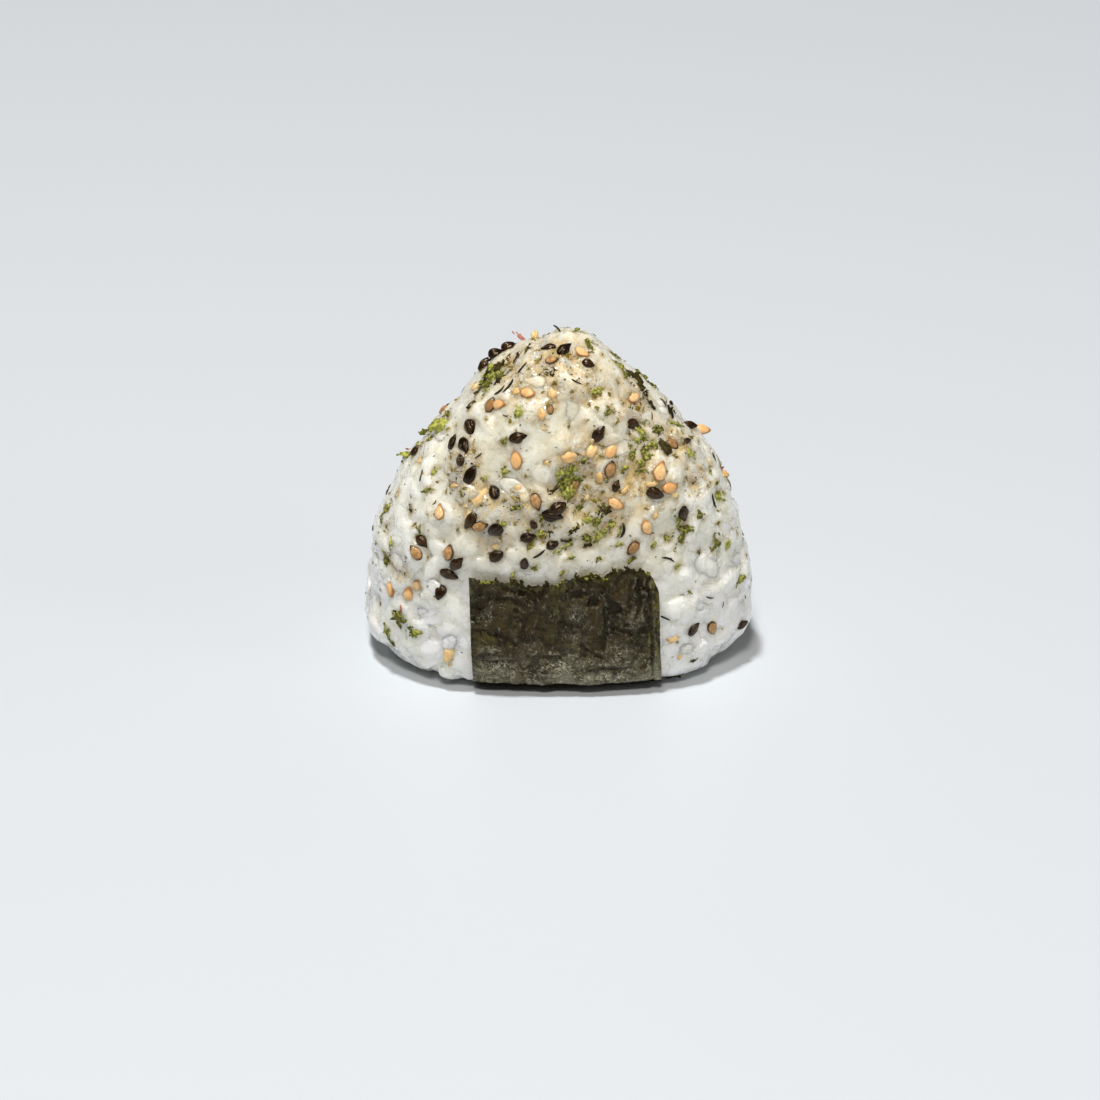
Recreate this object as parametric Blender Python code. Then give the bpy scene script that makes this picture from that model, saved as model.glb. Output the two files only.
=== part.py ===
"""An onigiri: a hand-pressed triangular rice ball with a strip of nori wrapped under its foot.

Metres, +Z up, the front face towards -Y. The ball stands on the flat underside of the nori strip, and
the origin is the middle of the bottom of its bounding box. Two nodes, one for each real piece: rice_ball
is the whole mass of rice out to its lumpy outline, and nori_strip is the sheet that runs from the front
face under the foot and up the back.
"""

import math

import bpy
import bmesh
from mathutils import Vector, noise

MM = 0.001

# The ball of rice
RICE_WIDTH = 75.4 * MM
RICE_HEIGHT = 67.4 * MM
RICE_THICKNESS = 40.6 * MM
CROWN_RISE = 2.6  # how low on the ball the crown starts to draw in
CROWN_WIDTH_POWER = 1.15  # 1 gives the width a pointed crown, 2 a round one
CROWN_THICKNESS_POWER = 1.95
SIDE_FOOT_RADIUS = 9.5 * MM  # rounding of the lower corners, seen from the front
FACE_FOOT_RADIUS = 3.4 * MM  # rounding under the front and back faces
PLAN_WIDTH_POWER = 2.9  # 2 is an ellipse, more flattens the front and back faces
PLAN_WIDTH_POWER_TOP = 2.1
PLAN_THICKNESS_POWER = 2.0
LEAN = (-0.6 * MM, 1.8 * MM)  # how far the foot and the tip stand to the right of the middle
LEAN_POWER = 6.0  # most of the lean is in the tip

# Hand-pressed unevenness, which the nori follows too
PRESS_DEPTH = 0.9 * MM
PRESS_SPACING = 21.0 * MM
PRESS_FADE = (3.0 * MM, 14.0 * MM)  # the foot stays flat below, and is fully uneven above
PRESS_SAMPLE = Vector((3.1, 7.4, 1.9))  # which stretch of the noise shapes the dents

# Grains that stand out of the rice
GRAIN_DEPTH = 1.3 * MM
GRAIN_SPACING = 5.6 * MM
GRAIN_FADE = (1.0 * MM, 5.0 * MM)
GRAIN_REACH = 0.75  # radius of a grain's dome, as a share of the spacing
GRAIN_SINK = 0.45  # share of the depth that lies below the smooth ball
GRAIN_SAMPLE = Vector((5.5, 0.7, 2.3))

# The nori strip
NORI_WIDTH = 36.0 * MM
NORI_THICKNESS = 0.4 * MM
NORI_GAP = 0.3 * MM
NORI_FRONT_HEIGHT = 24.4 * MM
NORI_BACK_HEIGHT = 25.0 * MM
NORI_FRONT_SHIFT = 0.4 * MM  # the strip's middle at its front edge
NORI_BACK_SHIFT = 2.6 * MM  # and at its back edge, because it lies a little askew
NORI_CORNER_DROP = 4.4 * MM
NORI_CORNER_REACH = 4.2 * MM
NORI_CLEARANCE = (2.6 * MM, 5.5 * MM)  # grains lie flat up to here beside the strip, then rise

# Mesh density
RING_POINTS = 64
FOOT_RINGS = 5
WALL_RINGS = 34
BASE_RINGS = 2
FACE_ROWS = 12
FOLD_ROWS = 4
UNDER_ROWS = 10
STRIP_COLUMNS = 24
PLAN_SAMPLES = 160  # points tried along a quarter of the plan before they are spaced evenly
HEIGHT_SAMPLES = 400
SLOPE_STEP = 0.02 * MM
TINY = 1e-6

BASE_HEIGHT = NORI_GAP + NORI_THICKNESS


def smooth_step(value, low, high):
    """0 below low, 1 above high, and a smooth rise between them."""
    share = min(1.0, max(0.0, (value - low) / (high - low)))
    return share * share * (3.0 - 2.0 * share)


def crown(height, power):
    """Share of the full width or thickness that the rice keeps at a height above its foot."""
    share = min(1.0, max(0.0, height / RICE_HEIGHT))
    return (1.0 - share**CROWN_RISE) ** (1.0 / power)


def foot_inset(height, radius):
    """How far a foot rounded with this radius stands in at a height above its flat."""
    if height >= radius:
        return 0.0
    return radius - math.sqrt(max(0.0, radius**2 - (radius - height) ** 2))


def half_width(height):
    return 0.5 * RICE_WIDTH * crown(height, CROWN_WIDTH_POWER) - foot_inset(height, SIDE_FOOT_RADIUS)


def half_thickness(height):
    return 0.5 * RICE_THICKNESS * crown(height, CROWN_THICKNESS_POWER) - foot_inset(height, FACE_FOOT_RADIUS)


def lean(height):
    """How far the middle of the plan stands to the right at a height."""
    return LEAN[0] + (LEAN[1] - LEAN[0]) * (max(0.0, height) / RICE_HEIGHT) ** LEAN_POWER


def plan_power(height):
    """The flat faces of the foot turn into a rounder plan towards the crown."""
    share = smooth_step(height, 0.25 * RICE_HEIGHT, RICE_HEIGHT)
    return PLAN_WIDTH_POWER + share * (PLAN_WIDTH_POWER_TOP - PLAN_WIDTH_POWER)


def face_depth(across, height):
    """Distance from the middle plane to the face, at a place across the ball."""
    share = min(1.0, abs(across - lean(height)) / half_width(height))
    return half_thickness(height) * (1.0 - share ** plan_power(height)) ** (1.0 / PLAN_THICKNESS_POWER)


def outward(point):
    """Unit normal of the smooth ball at a point on it, from the slope of its plan equation."""

    def equation(x, y, height):
        height = min(max(height, TINY), RICE_HEIGHT - TINY)
        across = abs((x - lean(height)) / half_width(height))
        along = abs(y / half_thickness(height))
        return across ** plan_power(height) + along**PLAN_THICKNESS_POWER

    if point.z <= TINY:
        return Vector((0.0, 0.0, -1.0))
    if point.z >= RICE_HEIGHT - TINY:
        return Vector((0.0, 0.0, 1.0))
    slope = Vector()
    for axis in range(3):
        step = Vector()
        step[axis] = SLOPE_STEP
        slope[axis] = equation(*(point + step)) - equation(*(point - step))
    return slope.normalized()


def pressed(point):
    """Depth of the palm-sized dents and bulges at a point of the smooth ball."""
    wave = noise.noise(point / PRESS_SPACING + PRESS_SAMPLE)
    return PRESS_DEPTH * 2.0 * wave * smooth_step(point.z, *PRESS_FADE)


def strip_middle(along):
    """Middle of the strip across the ball, for a share along it from the front edge to the back."""
    return NORI_FRONT_SHIFT + along * (NORI_BACK_SHIFT - NORI_FRONT_SHIFT)


def beside_strip(point):
    """Distance beside the strip, or above its front or back edge; 0 on the strip itself."""
    side = 0.5 + 0.5 * point.y / (0.5 * RICE_THICKNESS)
    beside = max(0.0, abs(point.x - strip_middle(side)) - 0.5 * NORI_WIDTH)
    edge = NORI_FRONT_HEIGHT if point.y < 0.0 else NORI_BACK_HEIGHT
    return math.hypot(beside, max(0.0, point.z - edge))


def grain_relief(point):
    """Grains as rounded cells, which lie flat next to the strip and under the foot."""
    distances, _ = noise.voronoi(point / GRAIN_SPACING + GRAIN_SAMPLE)
    dome = max(0.0, 1.0 - (distances[0] / GRAIN_REACH) ** 2)
    rise = smooth_step(beside_strip(point), *NORI_CLEARANCE) * smooth_step(point.z, *GRAIN_FADE)
    return GRAIN_DEPTH * (dome - GRAIN_SINK) * rise


def quarter_plan(height):
    """Dense points along a quarter of the plan outline, from the side to the front."""
    width, thickness, power = half_width(height), half_thickness(height), plan_power(height)
    quarter = []
    for step in range(PLAN_SAMPLES + 1):
        turn = 0.5 * math.pi * step / PLAN_SAMPLES
        x = width * max(0.0, math.cos(turn)) ** (2.0 / power)
        y = thickness * math.sin(turn) ** (2.0 / PLAN_THICKNESS_POWER)
        quarter.append(Vector((x, y)))
    return quarter


def evenly_spaced(points, count):
    """Points at equal steps along a line of points, both ends included."""
    lengths = [0.0]
    for a, b in zip(points, points[1:]):
        lengths.append(lengths[-1] + (b - a).length)
    spaced = []
    segment = 0
    for step in range(count + 1):
        target = lengths[-1] * step / count
        while segment < len(points) - 2 and lengths[segment + 1] < target:
            segment += 1
        span = lengths[segment + 1] - lengths[segment]
        share = (target - lengths[segment]) / span if span else 0.0
        spaced.append(points[segment].lerp(points[segment + 1], min(1.0, share)))
    return spaced


def plan_ring(height):
    """RING_POINTS points round the smooth ball at a height, anticlockwise from +X."""
    quarter = evenly_spaced(quarter_plan(height), RING_POINTS // 4)
    back = quarter + [Vector((-p.x, p.y)) for p in reversed(quarter[:-1])]
    front = [Vector((p.x, -p.y)) for p in reversed(back[1:-1])]
    return [Vector((p.x + lean(height), p.y, height)) for p in back + front]


def wall_heights():
    """Heights of the rings: close together round the foot, and evenly spread along the side above."""
    foot = [FACE_FOOT_RADIUS * (1.0 - math.cos(0.5 * math.pi * k / FOOT_RINGS)) for k in range(FOOT_RINGS)]
    side = []
    for k in range(HEIGHT_SAMPLES + 1):
        height = FACE_FOOT_RADIUS + (RICE_HEIGHT - FACE_FOOT_RADIUS) * k / HEIGHT_SAMPLES
        side.append(Vector((half_width(height), height)))
    return foot + [p.y for p in evenly_spaced(side, WALL_RINGS)][:-1]


def rice_surface(point):
    """Where a point of the smooth ball lies on the uneven one, lifted clear of the nori's underside."""
    moved = point + outward(point) * (pressed(point) + grain_relief(point))
    return moved + Vector((0.0, 0.0, BASE_HEIGHT))


def material(name, colour, roughness, subsurface=0.0):
    made = bpy.data.materials.new(name)
    made.use_nodes = True
    shader = made.node_tree.nodes["Principled BSDF"]
    shader.inputs["Base Color"].default_value = (*colour, 1.0)
    shader.inputs["Roughness"].default_value = roughness
    shader.inputs["Metallic"].default_value = 0.0
    shader.inputs["Subsurface Weight"].default_value = subsurface
    shader.inputs["Subsurface Scale"].default_value = 2.0 * MM
    made.diffuse_color = (*colour, 1.0)
    return made


def add_object(name, shape, finish):
    """Turns a bmesh into a named, smooth-shaded object with its faces pointing out."""
    bmesh.ops.recalc_face_normals(shape, faces=shape.faces)
    mesh = bpy.data.meshes.new(name)
    shape.to_mesh(mesh)
    shape.free()
    mesh.materials.append(finish)
    mesh.shade_smooth()
    made = bpy.data.objects.new(name, mesh)
    bpy.context.scene.collection.objects.link(made)
    return made


def make_rice_ball():
    """The whole mass of rice: a flat foot, rings up the wall, and a closed crown."""
    shape = bmesh.new()
    foot = plan_ring(0.0)
    centre = shape.verts.new((lean(0.0), 0.0, BASE_HEIGHT))
    rings = []
    for step in range(1, BASE_RINGS + 1):
        share = step / (BASE_RINGS + 1)
        ring = [centre.co.lerp(p + Vector((0.0, 0.0, BASE_HEIGHT)), share) for p in foot]
        rings.append([shape.verts.new(p) for p in ring])
    for height in wall_heights():
        rings.append([shape.verts.new(rice_surface(p)) for p in plan_ring(height)])
    tip = shape.verts.new(rice_surface(Vector((lean(RICE_HEIGHT), 0.0, RICE_HEIGHT))))
    for k in range(RING_POINTS):
        after = (k + 1) % RING_POINTS
        shape.faces.new((centre, rings[0][after], rings[0][k]))
        for lower, upper in zip(rings, rings[1:]):
            shape.faces.new((lower[k], lower[after], upper[after], upper[k]))
        shape.faces.new((rings[-1][k], rings[-1][after], tip))
    return add_object("rice_ball", shape, material("rice", (0.80, 0.78, 0.70), 0.42, 1.0))


def front_edge(across):
    """Height of the strip's front edge: a dip left of the middle, a rise, and a rounded right corner."""
    share = across / (0.5 * NORI_WIDTH)
    ripple = 0.25 * math.sin(11.0 * share + 0.6) + 0.2 * math.sin(23.0 * share)
    wave = 1.9 * smooth_step(share, -0.2, 0.7) - 1.0 * math.exp(-((share + 0.4) / 0.22) ** 2)
    inside = max(0.0, across - (0.5 * NORI_WIDTH - NORI_CORNER_REACH)) / NORI_CORNER_REACH
    corner = NORI_CORNER_DROP * (1.0 - math.sqrt(1.0 - min(1.0, inside) ** 2))
    return NORI_FRONT_HEIGHT + (ripple + wave) * MM - corner


def back_edge(across):
    """Height of the strip's back edge, gently uneven."""
    share = across / (0.5 * NORI_WIDTH)
    return NORI_BACK_HEIGHT + (0.45 * math.sin(5.0 * share + 1.0) + 0.25 * math.sin(16.0 * share)) * MM


def strip_column(across):
    """Points of the smooth ball under one lengthwise line of the strip, front edge to back edge."""
    places = []
    for k in range(FACE_ROWS):
        share = k / FACE_ROWS
        height = front_edge(across) + share * (FACE_FOOT_RADIUS - front_edge(across))
        places.append(("front", height))
    for k in range(FOLD_ROWS):
        places.append(("front", FACE_FOOT_RADIUS * (1.0 - math.sin(0.5 * math.pi * k / FOLD_ROWS))))
    for k in range(UNDER_ROWS + 1):
        places.append(("under", 2.0 * k / UNDER_ROWS - 1.0))
    for k in range(1, FOLD_ROWS + 1):
        places.append(("back", FACE_FOOT_RADIUS * (1.0 - math.cos(0.5 * math.pi * k / FOLD_ROWS))))
    for k in range(1, FACE_ROWS + 1):
        share = k / FACE_ROWS
        places.append(("back", FACE_FOOT_RADIUS + share * (back_edge(across) - FACE_FOOT_RADIUS)))
    column = []
    for row, (side, value) in enumerate(places):
        x = across + strip_middle(row / (len(places) - 1))
        if side == "under":
            column.append(Vector((x, value * face_depth(x, 0.0), 0.0)))
        else:
            depth = face_depth(x, value)
            column.append(Vector((x, -depth if side == "front" else depth, value)))
    return column


def make_nori_strip():
    """The strip: a skin NORI_GAP off the rice, thickened outwards by a Solidify modifier."""
    shape = bmesh.new()
    columns = []
    for k in range(STRIP_COLUMNS + 1):
        across = NORI_WIDTH * (k / STRIP_COLUMNS - 0.5)
        column = []
        for point in strip_column(across):
            lifted = point + outward(point) * (pressed(point) + NORI_GAP)
            column.append(shape.verts.new(lifted + Vector((0.0, 0.0, BASE_HEIGHT))))
        columns.append(column)
    for left, right in zip(columns, columns[1:]):
        for row in range(len(left) - 1):
            shape.faces.new((left[row + 1], right[row + 1], right[row], left[row]))
    mesh = bpy.data.meshes.new("nori_strip")
    shape.to_mesh(mesh)
    shape.free()
    mesh.materials.append(material("nori", (0.035, 0.035, 0.018), 0.38))
    mesh.shade_smooth()
    strip = bpy.data.objects.new("nori_strip", mesh)
    bpy.context.scene.collection.objects.link(strip)
    solidify = strip.modifiers.new("thickness", "SOLIDIFY")
    solidify.thickness = NORI_THICKNESS
    solidify.offset = 1.0
    solidify.use_even_offset = True
    return strip


def centre_over_origin(pieces):
    """Moves every piece by the same amount, so that the whole stands centred on the origin."""
    bpy.context.view_layer.update()
    graph = bpy.context.evaluated_depsgraph_get()
    corners = [Vector(c) for piece in pieces for c in piece.evaluated_get(graph).bound_box]
    low = Vector([min(c[axis] for c in corners) for axis in range(3)])
    high = Vector([max(c[axis] for c in corners) for axis in range(3)])
    shift = Vector((-0.5 * (low.x + high.x), -0.5 * (low.y + high.y), -low.z))
    for piece in pieces:
        for vertex in piece.data.vertices:
            vertex.co += shift


def main():
    for old in list(bpy.data.objects):
        bpy.data.objects.remove(old)
    pieces = [make_rice_ball(), make_nori_strip()]
    centre_over_origin(pieces)


main()
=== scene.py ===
"""The looks of an onigiri: pressed rice grains, a nori strip and furikake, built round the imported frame.

Metres, +Z up, the front face towards -Y. The rice is a smaller core with grains pressed into it and whole
grains lying on it; the nori is a thin crinkled sheet; sesame seeds, seaweed flakes, crumbs and granules of
seasoning lie on the rice where a cook's hand would leave them.
"""

import logging
import math
import random
from collections.abc import Callable, Iterable, Sequence
from dataclasses import dataclass, field
from enum import Enum

import bmesh
import bpy
import numpy as np
from mathutils import Matrix, Vector, noise
from mathutils.bvhtree import BVHTree
from mathutils.kdtree import KDTree

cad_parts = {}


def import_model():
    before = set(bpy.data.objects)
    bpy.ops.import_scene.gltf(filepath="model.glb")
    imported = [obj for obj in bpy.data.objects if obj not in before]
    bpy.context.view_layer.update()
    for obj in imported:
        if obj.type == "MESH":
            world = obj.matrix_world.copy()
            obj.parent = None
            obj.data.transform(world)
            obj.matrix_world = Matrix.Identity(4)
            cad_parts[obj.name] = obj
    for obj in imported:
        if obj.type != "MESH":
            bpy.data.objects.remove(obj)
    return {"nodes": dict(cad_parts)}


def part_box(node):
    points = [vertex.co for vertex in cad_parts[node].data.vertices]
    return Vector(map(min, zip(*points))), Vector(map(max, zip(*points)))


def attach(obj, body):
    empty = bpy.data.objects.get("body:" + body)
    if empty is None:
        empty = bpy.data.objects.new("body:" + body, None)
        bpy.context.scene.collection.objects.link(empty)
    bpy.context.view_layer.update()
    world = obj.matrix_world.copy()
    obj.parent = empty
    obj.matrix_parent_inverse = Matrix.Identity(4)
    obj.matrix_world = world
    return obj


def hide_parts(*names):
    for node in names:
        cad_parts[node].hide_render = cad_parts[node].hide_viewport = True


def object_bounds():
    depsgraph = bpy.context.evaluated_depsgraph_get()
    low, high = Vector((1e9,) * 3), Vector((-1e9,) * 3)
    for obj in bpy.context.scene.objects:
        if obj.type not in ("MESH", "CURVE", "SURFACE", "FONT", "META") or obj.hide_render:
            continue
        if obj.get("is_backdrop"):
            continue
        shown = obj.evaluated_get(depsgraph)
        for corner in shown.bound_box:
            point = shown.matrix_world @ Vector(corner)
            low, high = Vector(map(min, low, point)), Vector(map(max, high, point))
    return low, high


MM = 0.001
BODY = "root"
LOG = logging.getLogger("onigiri")

VIEW_ELEVATION = math.radians(29.5)
LOOK = Vector((0.0, math.cos(VIEW_ELEVATION), -math.sin(VIEW_ELEVATION)))


class Kind(Enum):
    """The kinds of furikake."""

    BLACK_SESAME = "black_sesame"
    BROWN_SESAME = "brown_sesame"
    TAN_SESAME = "tan_sesame"
    GREEN_FLAKE = "green_flakes"
    DARK_FLAKE = "dark_flakes"
    DARK_THREAD = "dark_threads"
    CRUMB = "crumbs"
    RED_FLAKE = "red_flakes"
    OLIVE_CRUMB = "olive_crumbs"
    GOLD_BIT = "golden_bits"
    SPECK = "specks"
    GRANULE = "granules"


@dataclass(frozen=True)
class Spot:
    """A place given one by one, as seen from the front and a little above.

    across runs from -1 at the left side to 1 at the right, up from 0 at the foot to 1 at the tip. turn is in
    degrees anticlockwise from the right, size is a share of the kind's usual size, and stand is 0 for a piece
    that lies flat and 1 for one that stands up and faces the front.
    """

    across: float
    up: float
    turn: float = 0.0
    size: float = 1.0
    stand: float = 0.0


@dataclass(frozen=True)
class Placement:
    """Where one copy of a small shape lies: its matrix, which template it copies, and its tint from 0 to 1."""

    matrix: Matrix
    template: int
    tint: float


@dataclass(frozen=True)
class Template:
    """A small shape that is laid down many times: long along X, its upper side towards +Z, in metres."""

    points: np.ndarray
    faces: list[tuple[int, ...]]


# ---------------------------------------------------------------------------------------------------------
# Modelling helpers


def smooth_step(value: float, low: float, high: float) -> float:
    """0 below low, 1 above high, and a smooth rise between them."""
    share = min(1.0, max(0.0, (value - low) / (high - low)))
    return share * share * (3.0 - 2.0 * share)


def deselect_all() -> None:
    """Leaves nothing selected, so that the next operator acts on its own object only."""
    for item in bpy.context.selected_objects:
        item.select_set(False)


def activate(item: bpy.types.Object) -> None:
    """Makes one object the only selected one, and the active one."""
    deselect_all()
    item.select_set(True)
    bpy.context.view_layer.objects.active = item


def apply_modifier(item: bpy.types.Object, kind: str, **values: object) -> None:
    """Adds a modifier with these values and applies it.

    Args:
        item: The object to change.
        kind: Blender's name of the modifier type.
        **values: Values of the modifier's own settings.
    """
    activate(item)
    modifier = item.modifiers.new(kind.lower(), kind)
    for name, value in values.items():
        setattr(modifier, name, value)
    bpy.ops.object.modifier_apply(modifier=modifier.name)


def select_points(item: bpy.types.Object, test: Callable[[Vector], bool]) -> None:
    """Selects the vertices of the object in edit mode that pass a test of their place."""
    shape = bmesh.from_edit_mesh(item.data)
    for vertex in shape.verts:
        vertex.select_set(test(vertex.co))
    shape.select_flush_mode()
    bmesh.update_edit_mesh(item.data)


def rings_along_x(item: bpy.types.Object) -> list[float]:
    """The distinct places along X at which the object has vertices."""
    return sorted({round(v.co.x, 6) for v in item.data.vertices})


def read_template(item: bpy.types.Object) -> Template:
    """Takes an object's shape as a template, and removes the object."""
    mesh = item.data
    points = np.array([v.co for v in mesh.vertices], float).reshape(-1, 3)
    faces = [tuple(p.vertices) for p in mesh.polygons]
    bpy.data.objects.remove(item)
    bpy.data.meshes.remove(mesh)
    return Template(points, faces)


def join_copies(name: str, templates: Sequence[Template], placements: Iterable[Placement]) -> bpy.types.Object:
    """Builds one object out of many copies of small shapes.

    Args:
        name: The new object's name.
        templates: The shapes that the placements count from 0.
        placements: Where each copy lies.

    Returns:
        The object, with the point attributes "tint", the copy's own value, "along", from -1 at a copy's blunt
        end to 1 at its pointed end, "aside", from -1 to 1 across it, and "rim", 1 round its waist and 0 on top.
    """
    points, tints, shares, faces = [], [], [], []
    start = 0
    for placement in placements:
        template = templates[placement.template]
        matrix = np.array(placement.matrix)
        points.append(template.points @ matrix[:3, :3].T + matrix[:3, 3])
        tints.append(np.full(len(template.points), placement.tint))
        shares.append(template.points / np.abs(template.points).max(axis=0))
        faces.extend(tuple(start + corner for corner in face) for face in template.faces)
        start += len(template.points)
    mesh = bpy.data.meshes.new(name)
    mesh.from_pydata(np.concatenate(points).tolist(), [], faces)
    mesh.shade_smooth()
    mesh.update()
    item = bpy.data.objects.new(name, mesh)
    bpy.context.scene.collection.objects.link(item)
    share = np.concatenate(shares)
    set_point_attribute(item, "tint", np.concatenate(tints))
    set_point_attribute(item, "along", share[:, 0])
    set_point_attribute(item, "aside", share[:, 1])
    set_point_attribute(item, "rim", 1.0 - np.abs(share[:, 2]))
    return item


def merged_copy(node: bpy.types.Object, name: str) -> bpy.types.Object:
    """A copy of a frame node as a separate object, with its loose triangles merged."""
    item = bpy.data.objects.new(name, node.data.copy())
    bpy.context.scene.collection.objects.link(item)
    activate(item)
    item.data.materials.clear()
    bpy.ops.object.mode_set(mode="EDIT")
    bpy.ops.mesh.select_all(action="SELECT")
    bpy.ops.mesh.remove_doubles(threshold=0.001 * MM)
    bpy.ops.object.mode_set(mode="OBJECT")
    if item.data.has_custom_normals:
        bpy.ops.mesh.customdata_custom_splitnormals_clear()
    item.data.shade_smooth()
    return item


def tree_of(item: bpy.types.Object) -> BVHTree:
    """A tree for nearest-point and ray questions about an object's mesh."""
    shape = bmesh.new()
    shape.from_mesh(item.data)
    tree = BVHTree.FromBMesh(shape)
    shape.free()
    return tree


def coordinates(item: bpy.types.Object) -> np.ndarray:
    """The places of an object's vertices, as an array of rows."""
    flat = np.zeros(len(item.data.vertices) * 3, np.float32)
    item.data.vertices.foreach_get("co", flat)
    return flat.reshape(-1, 3).astype(float)


def move_vertices(item: bpy.types.Object, places: np.ndarray) -> None:
    """Gives every vertex of an object a new place."""
    item.data.vertices.foreach_set("co", places.astype(np.float32).ravel())
    item.data.update()


def set_point_attribute(item: bpy.types.Object, name: str, values: np.ndarray) -> None:
    """Writes one number per vertex as a named attribute."""
    layer = item.data.attributes.new(name, "FLOAT", "POINT")
    layer.data.foreach_set("value", values.astype(np.float32))


def spread(item: bpy.types.Object, values: np.ndarray, passes: int) -> np.ndarray:
    """Averages numbers or places over each vertex's neighbours, again and again.

    Args:
        item: The object whose edges join the neighbours.
        values: One row or one number per vertex.
        passes: How many times to average.

    Returns:
        The averaged values, in the same shape.
    """
    edges = np.zeros(len(item.data.edges) * 2, np.int32)
    item.data.edges.foreach_get("vertices", edges)
    first, second = edges[0::2], edges[1::2]
    count = len(item.data.vertices)
    near = np.maximum(1, np.bincount(edges, minlength=count))
    rows = values.reshape(count, -1).astype(float)
    for _ in range(passes):
        for column in range(rows.shape[1]):
            line = rows[:, column]
            total = np.bincount(first, line[second], count) + np.bincount(second, line[first], count)
            rows[:, column] = 0.5 * line + 0.5 * total / near
    return rows.reshape(values.shape)


def relief(item: bpy.types.Object, passes: int) -> np.ndarray:
    """How far each vertex stands out of its own averaged surroundings, in metres: below 0 in a crease."""
    places = coordinates(item)
    normals = np.array([v.normal for v in item.data.vertices])
    return ((places - spread(item, places, passes)) * normals).sum(axis=1)


def lying_matrix(place: Vector, normal: Vector, heading: Vector, scale: Vector) -> Matrix:
    """A matrix that lays a small shape on a surface.

    Args:
        place: Where the shape's middle goes.
        normal: The surface's outward direction, which the shape's +Z takes.
        heading: Roughly where the shape's +X points.
        scale: Scale along the shape's own axes.

    Returns:
        The matrix.
    """
    up = normal.normalized()
    forward = (heading - heading.dot(up) * up).normalized()
    side = up.cross(forward)
    turn = Matrix((forward, side, up)).transposed().to_4x4()
    return Matrix.Translation(place) @ turn @ Matrix.Diagonal(scale).to_4x4()


# ---------------------------------------------------------------------------------------------------------
# Finishes


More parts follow.
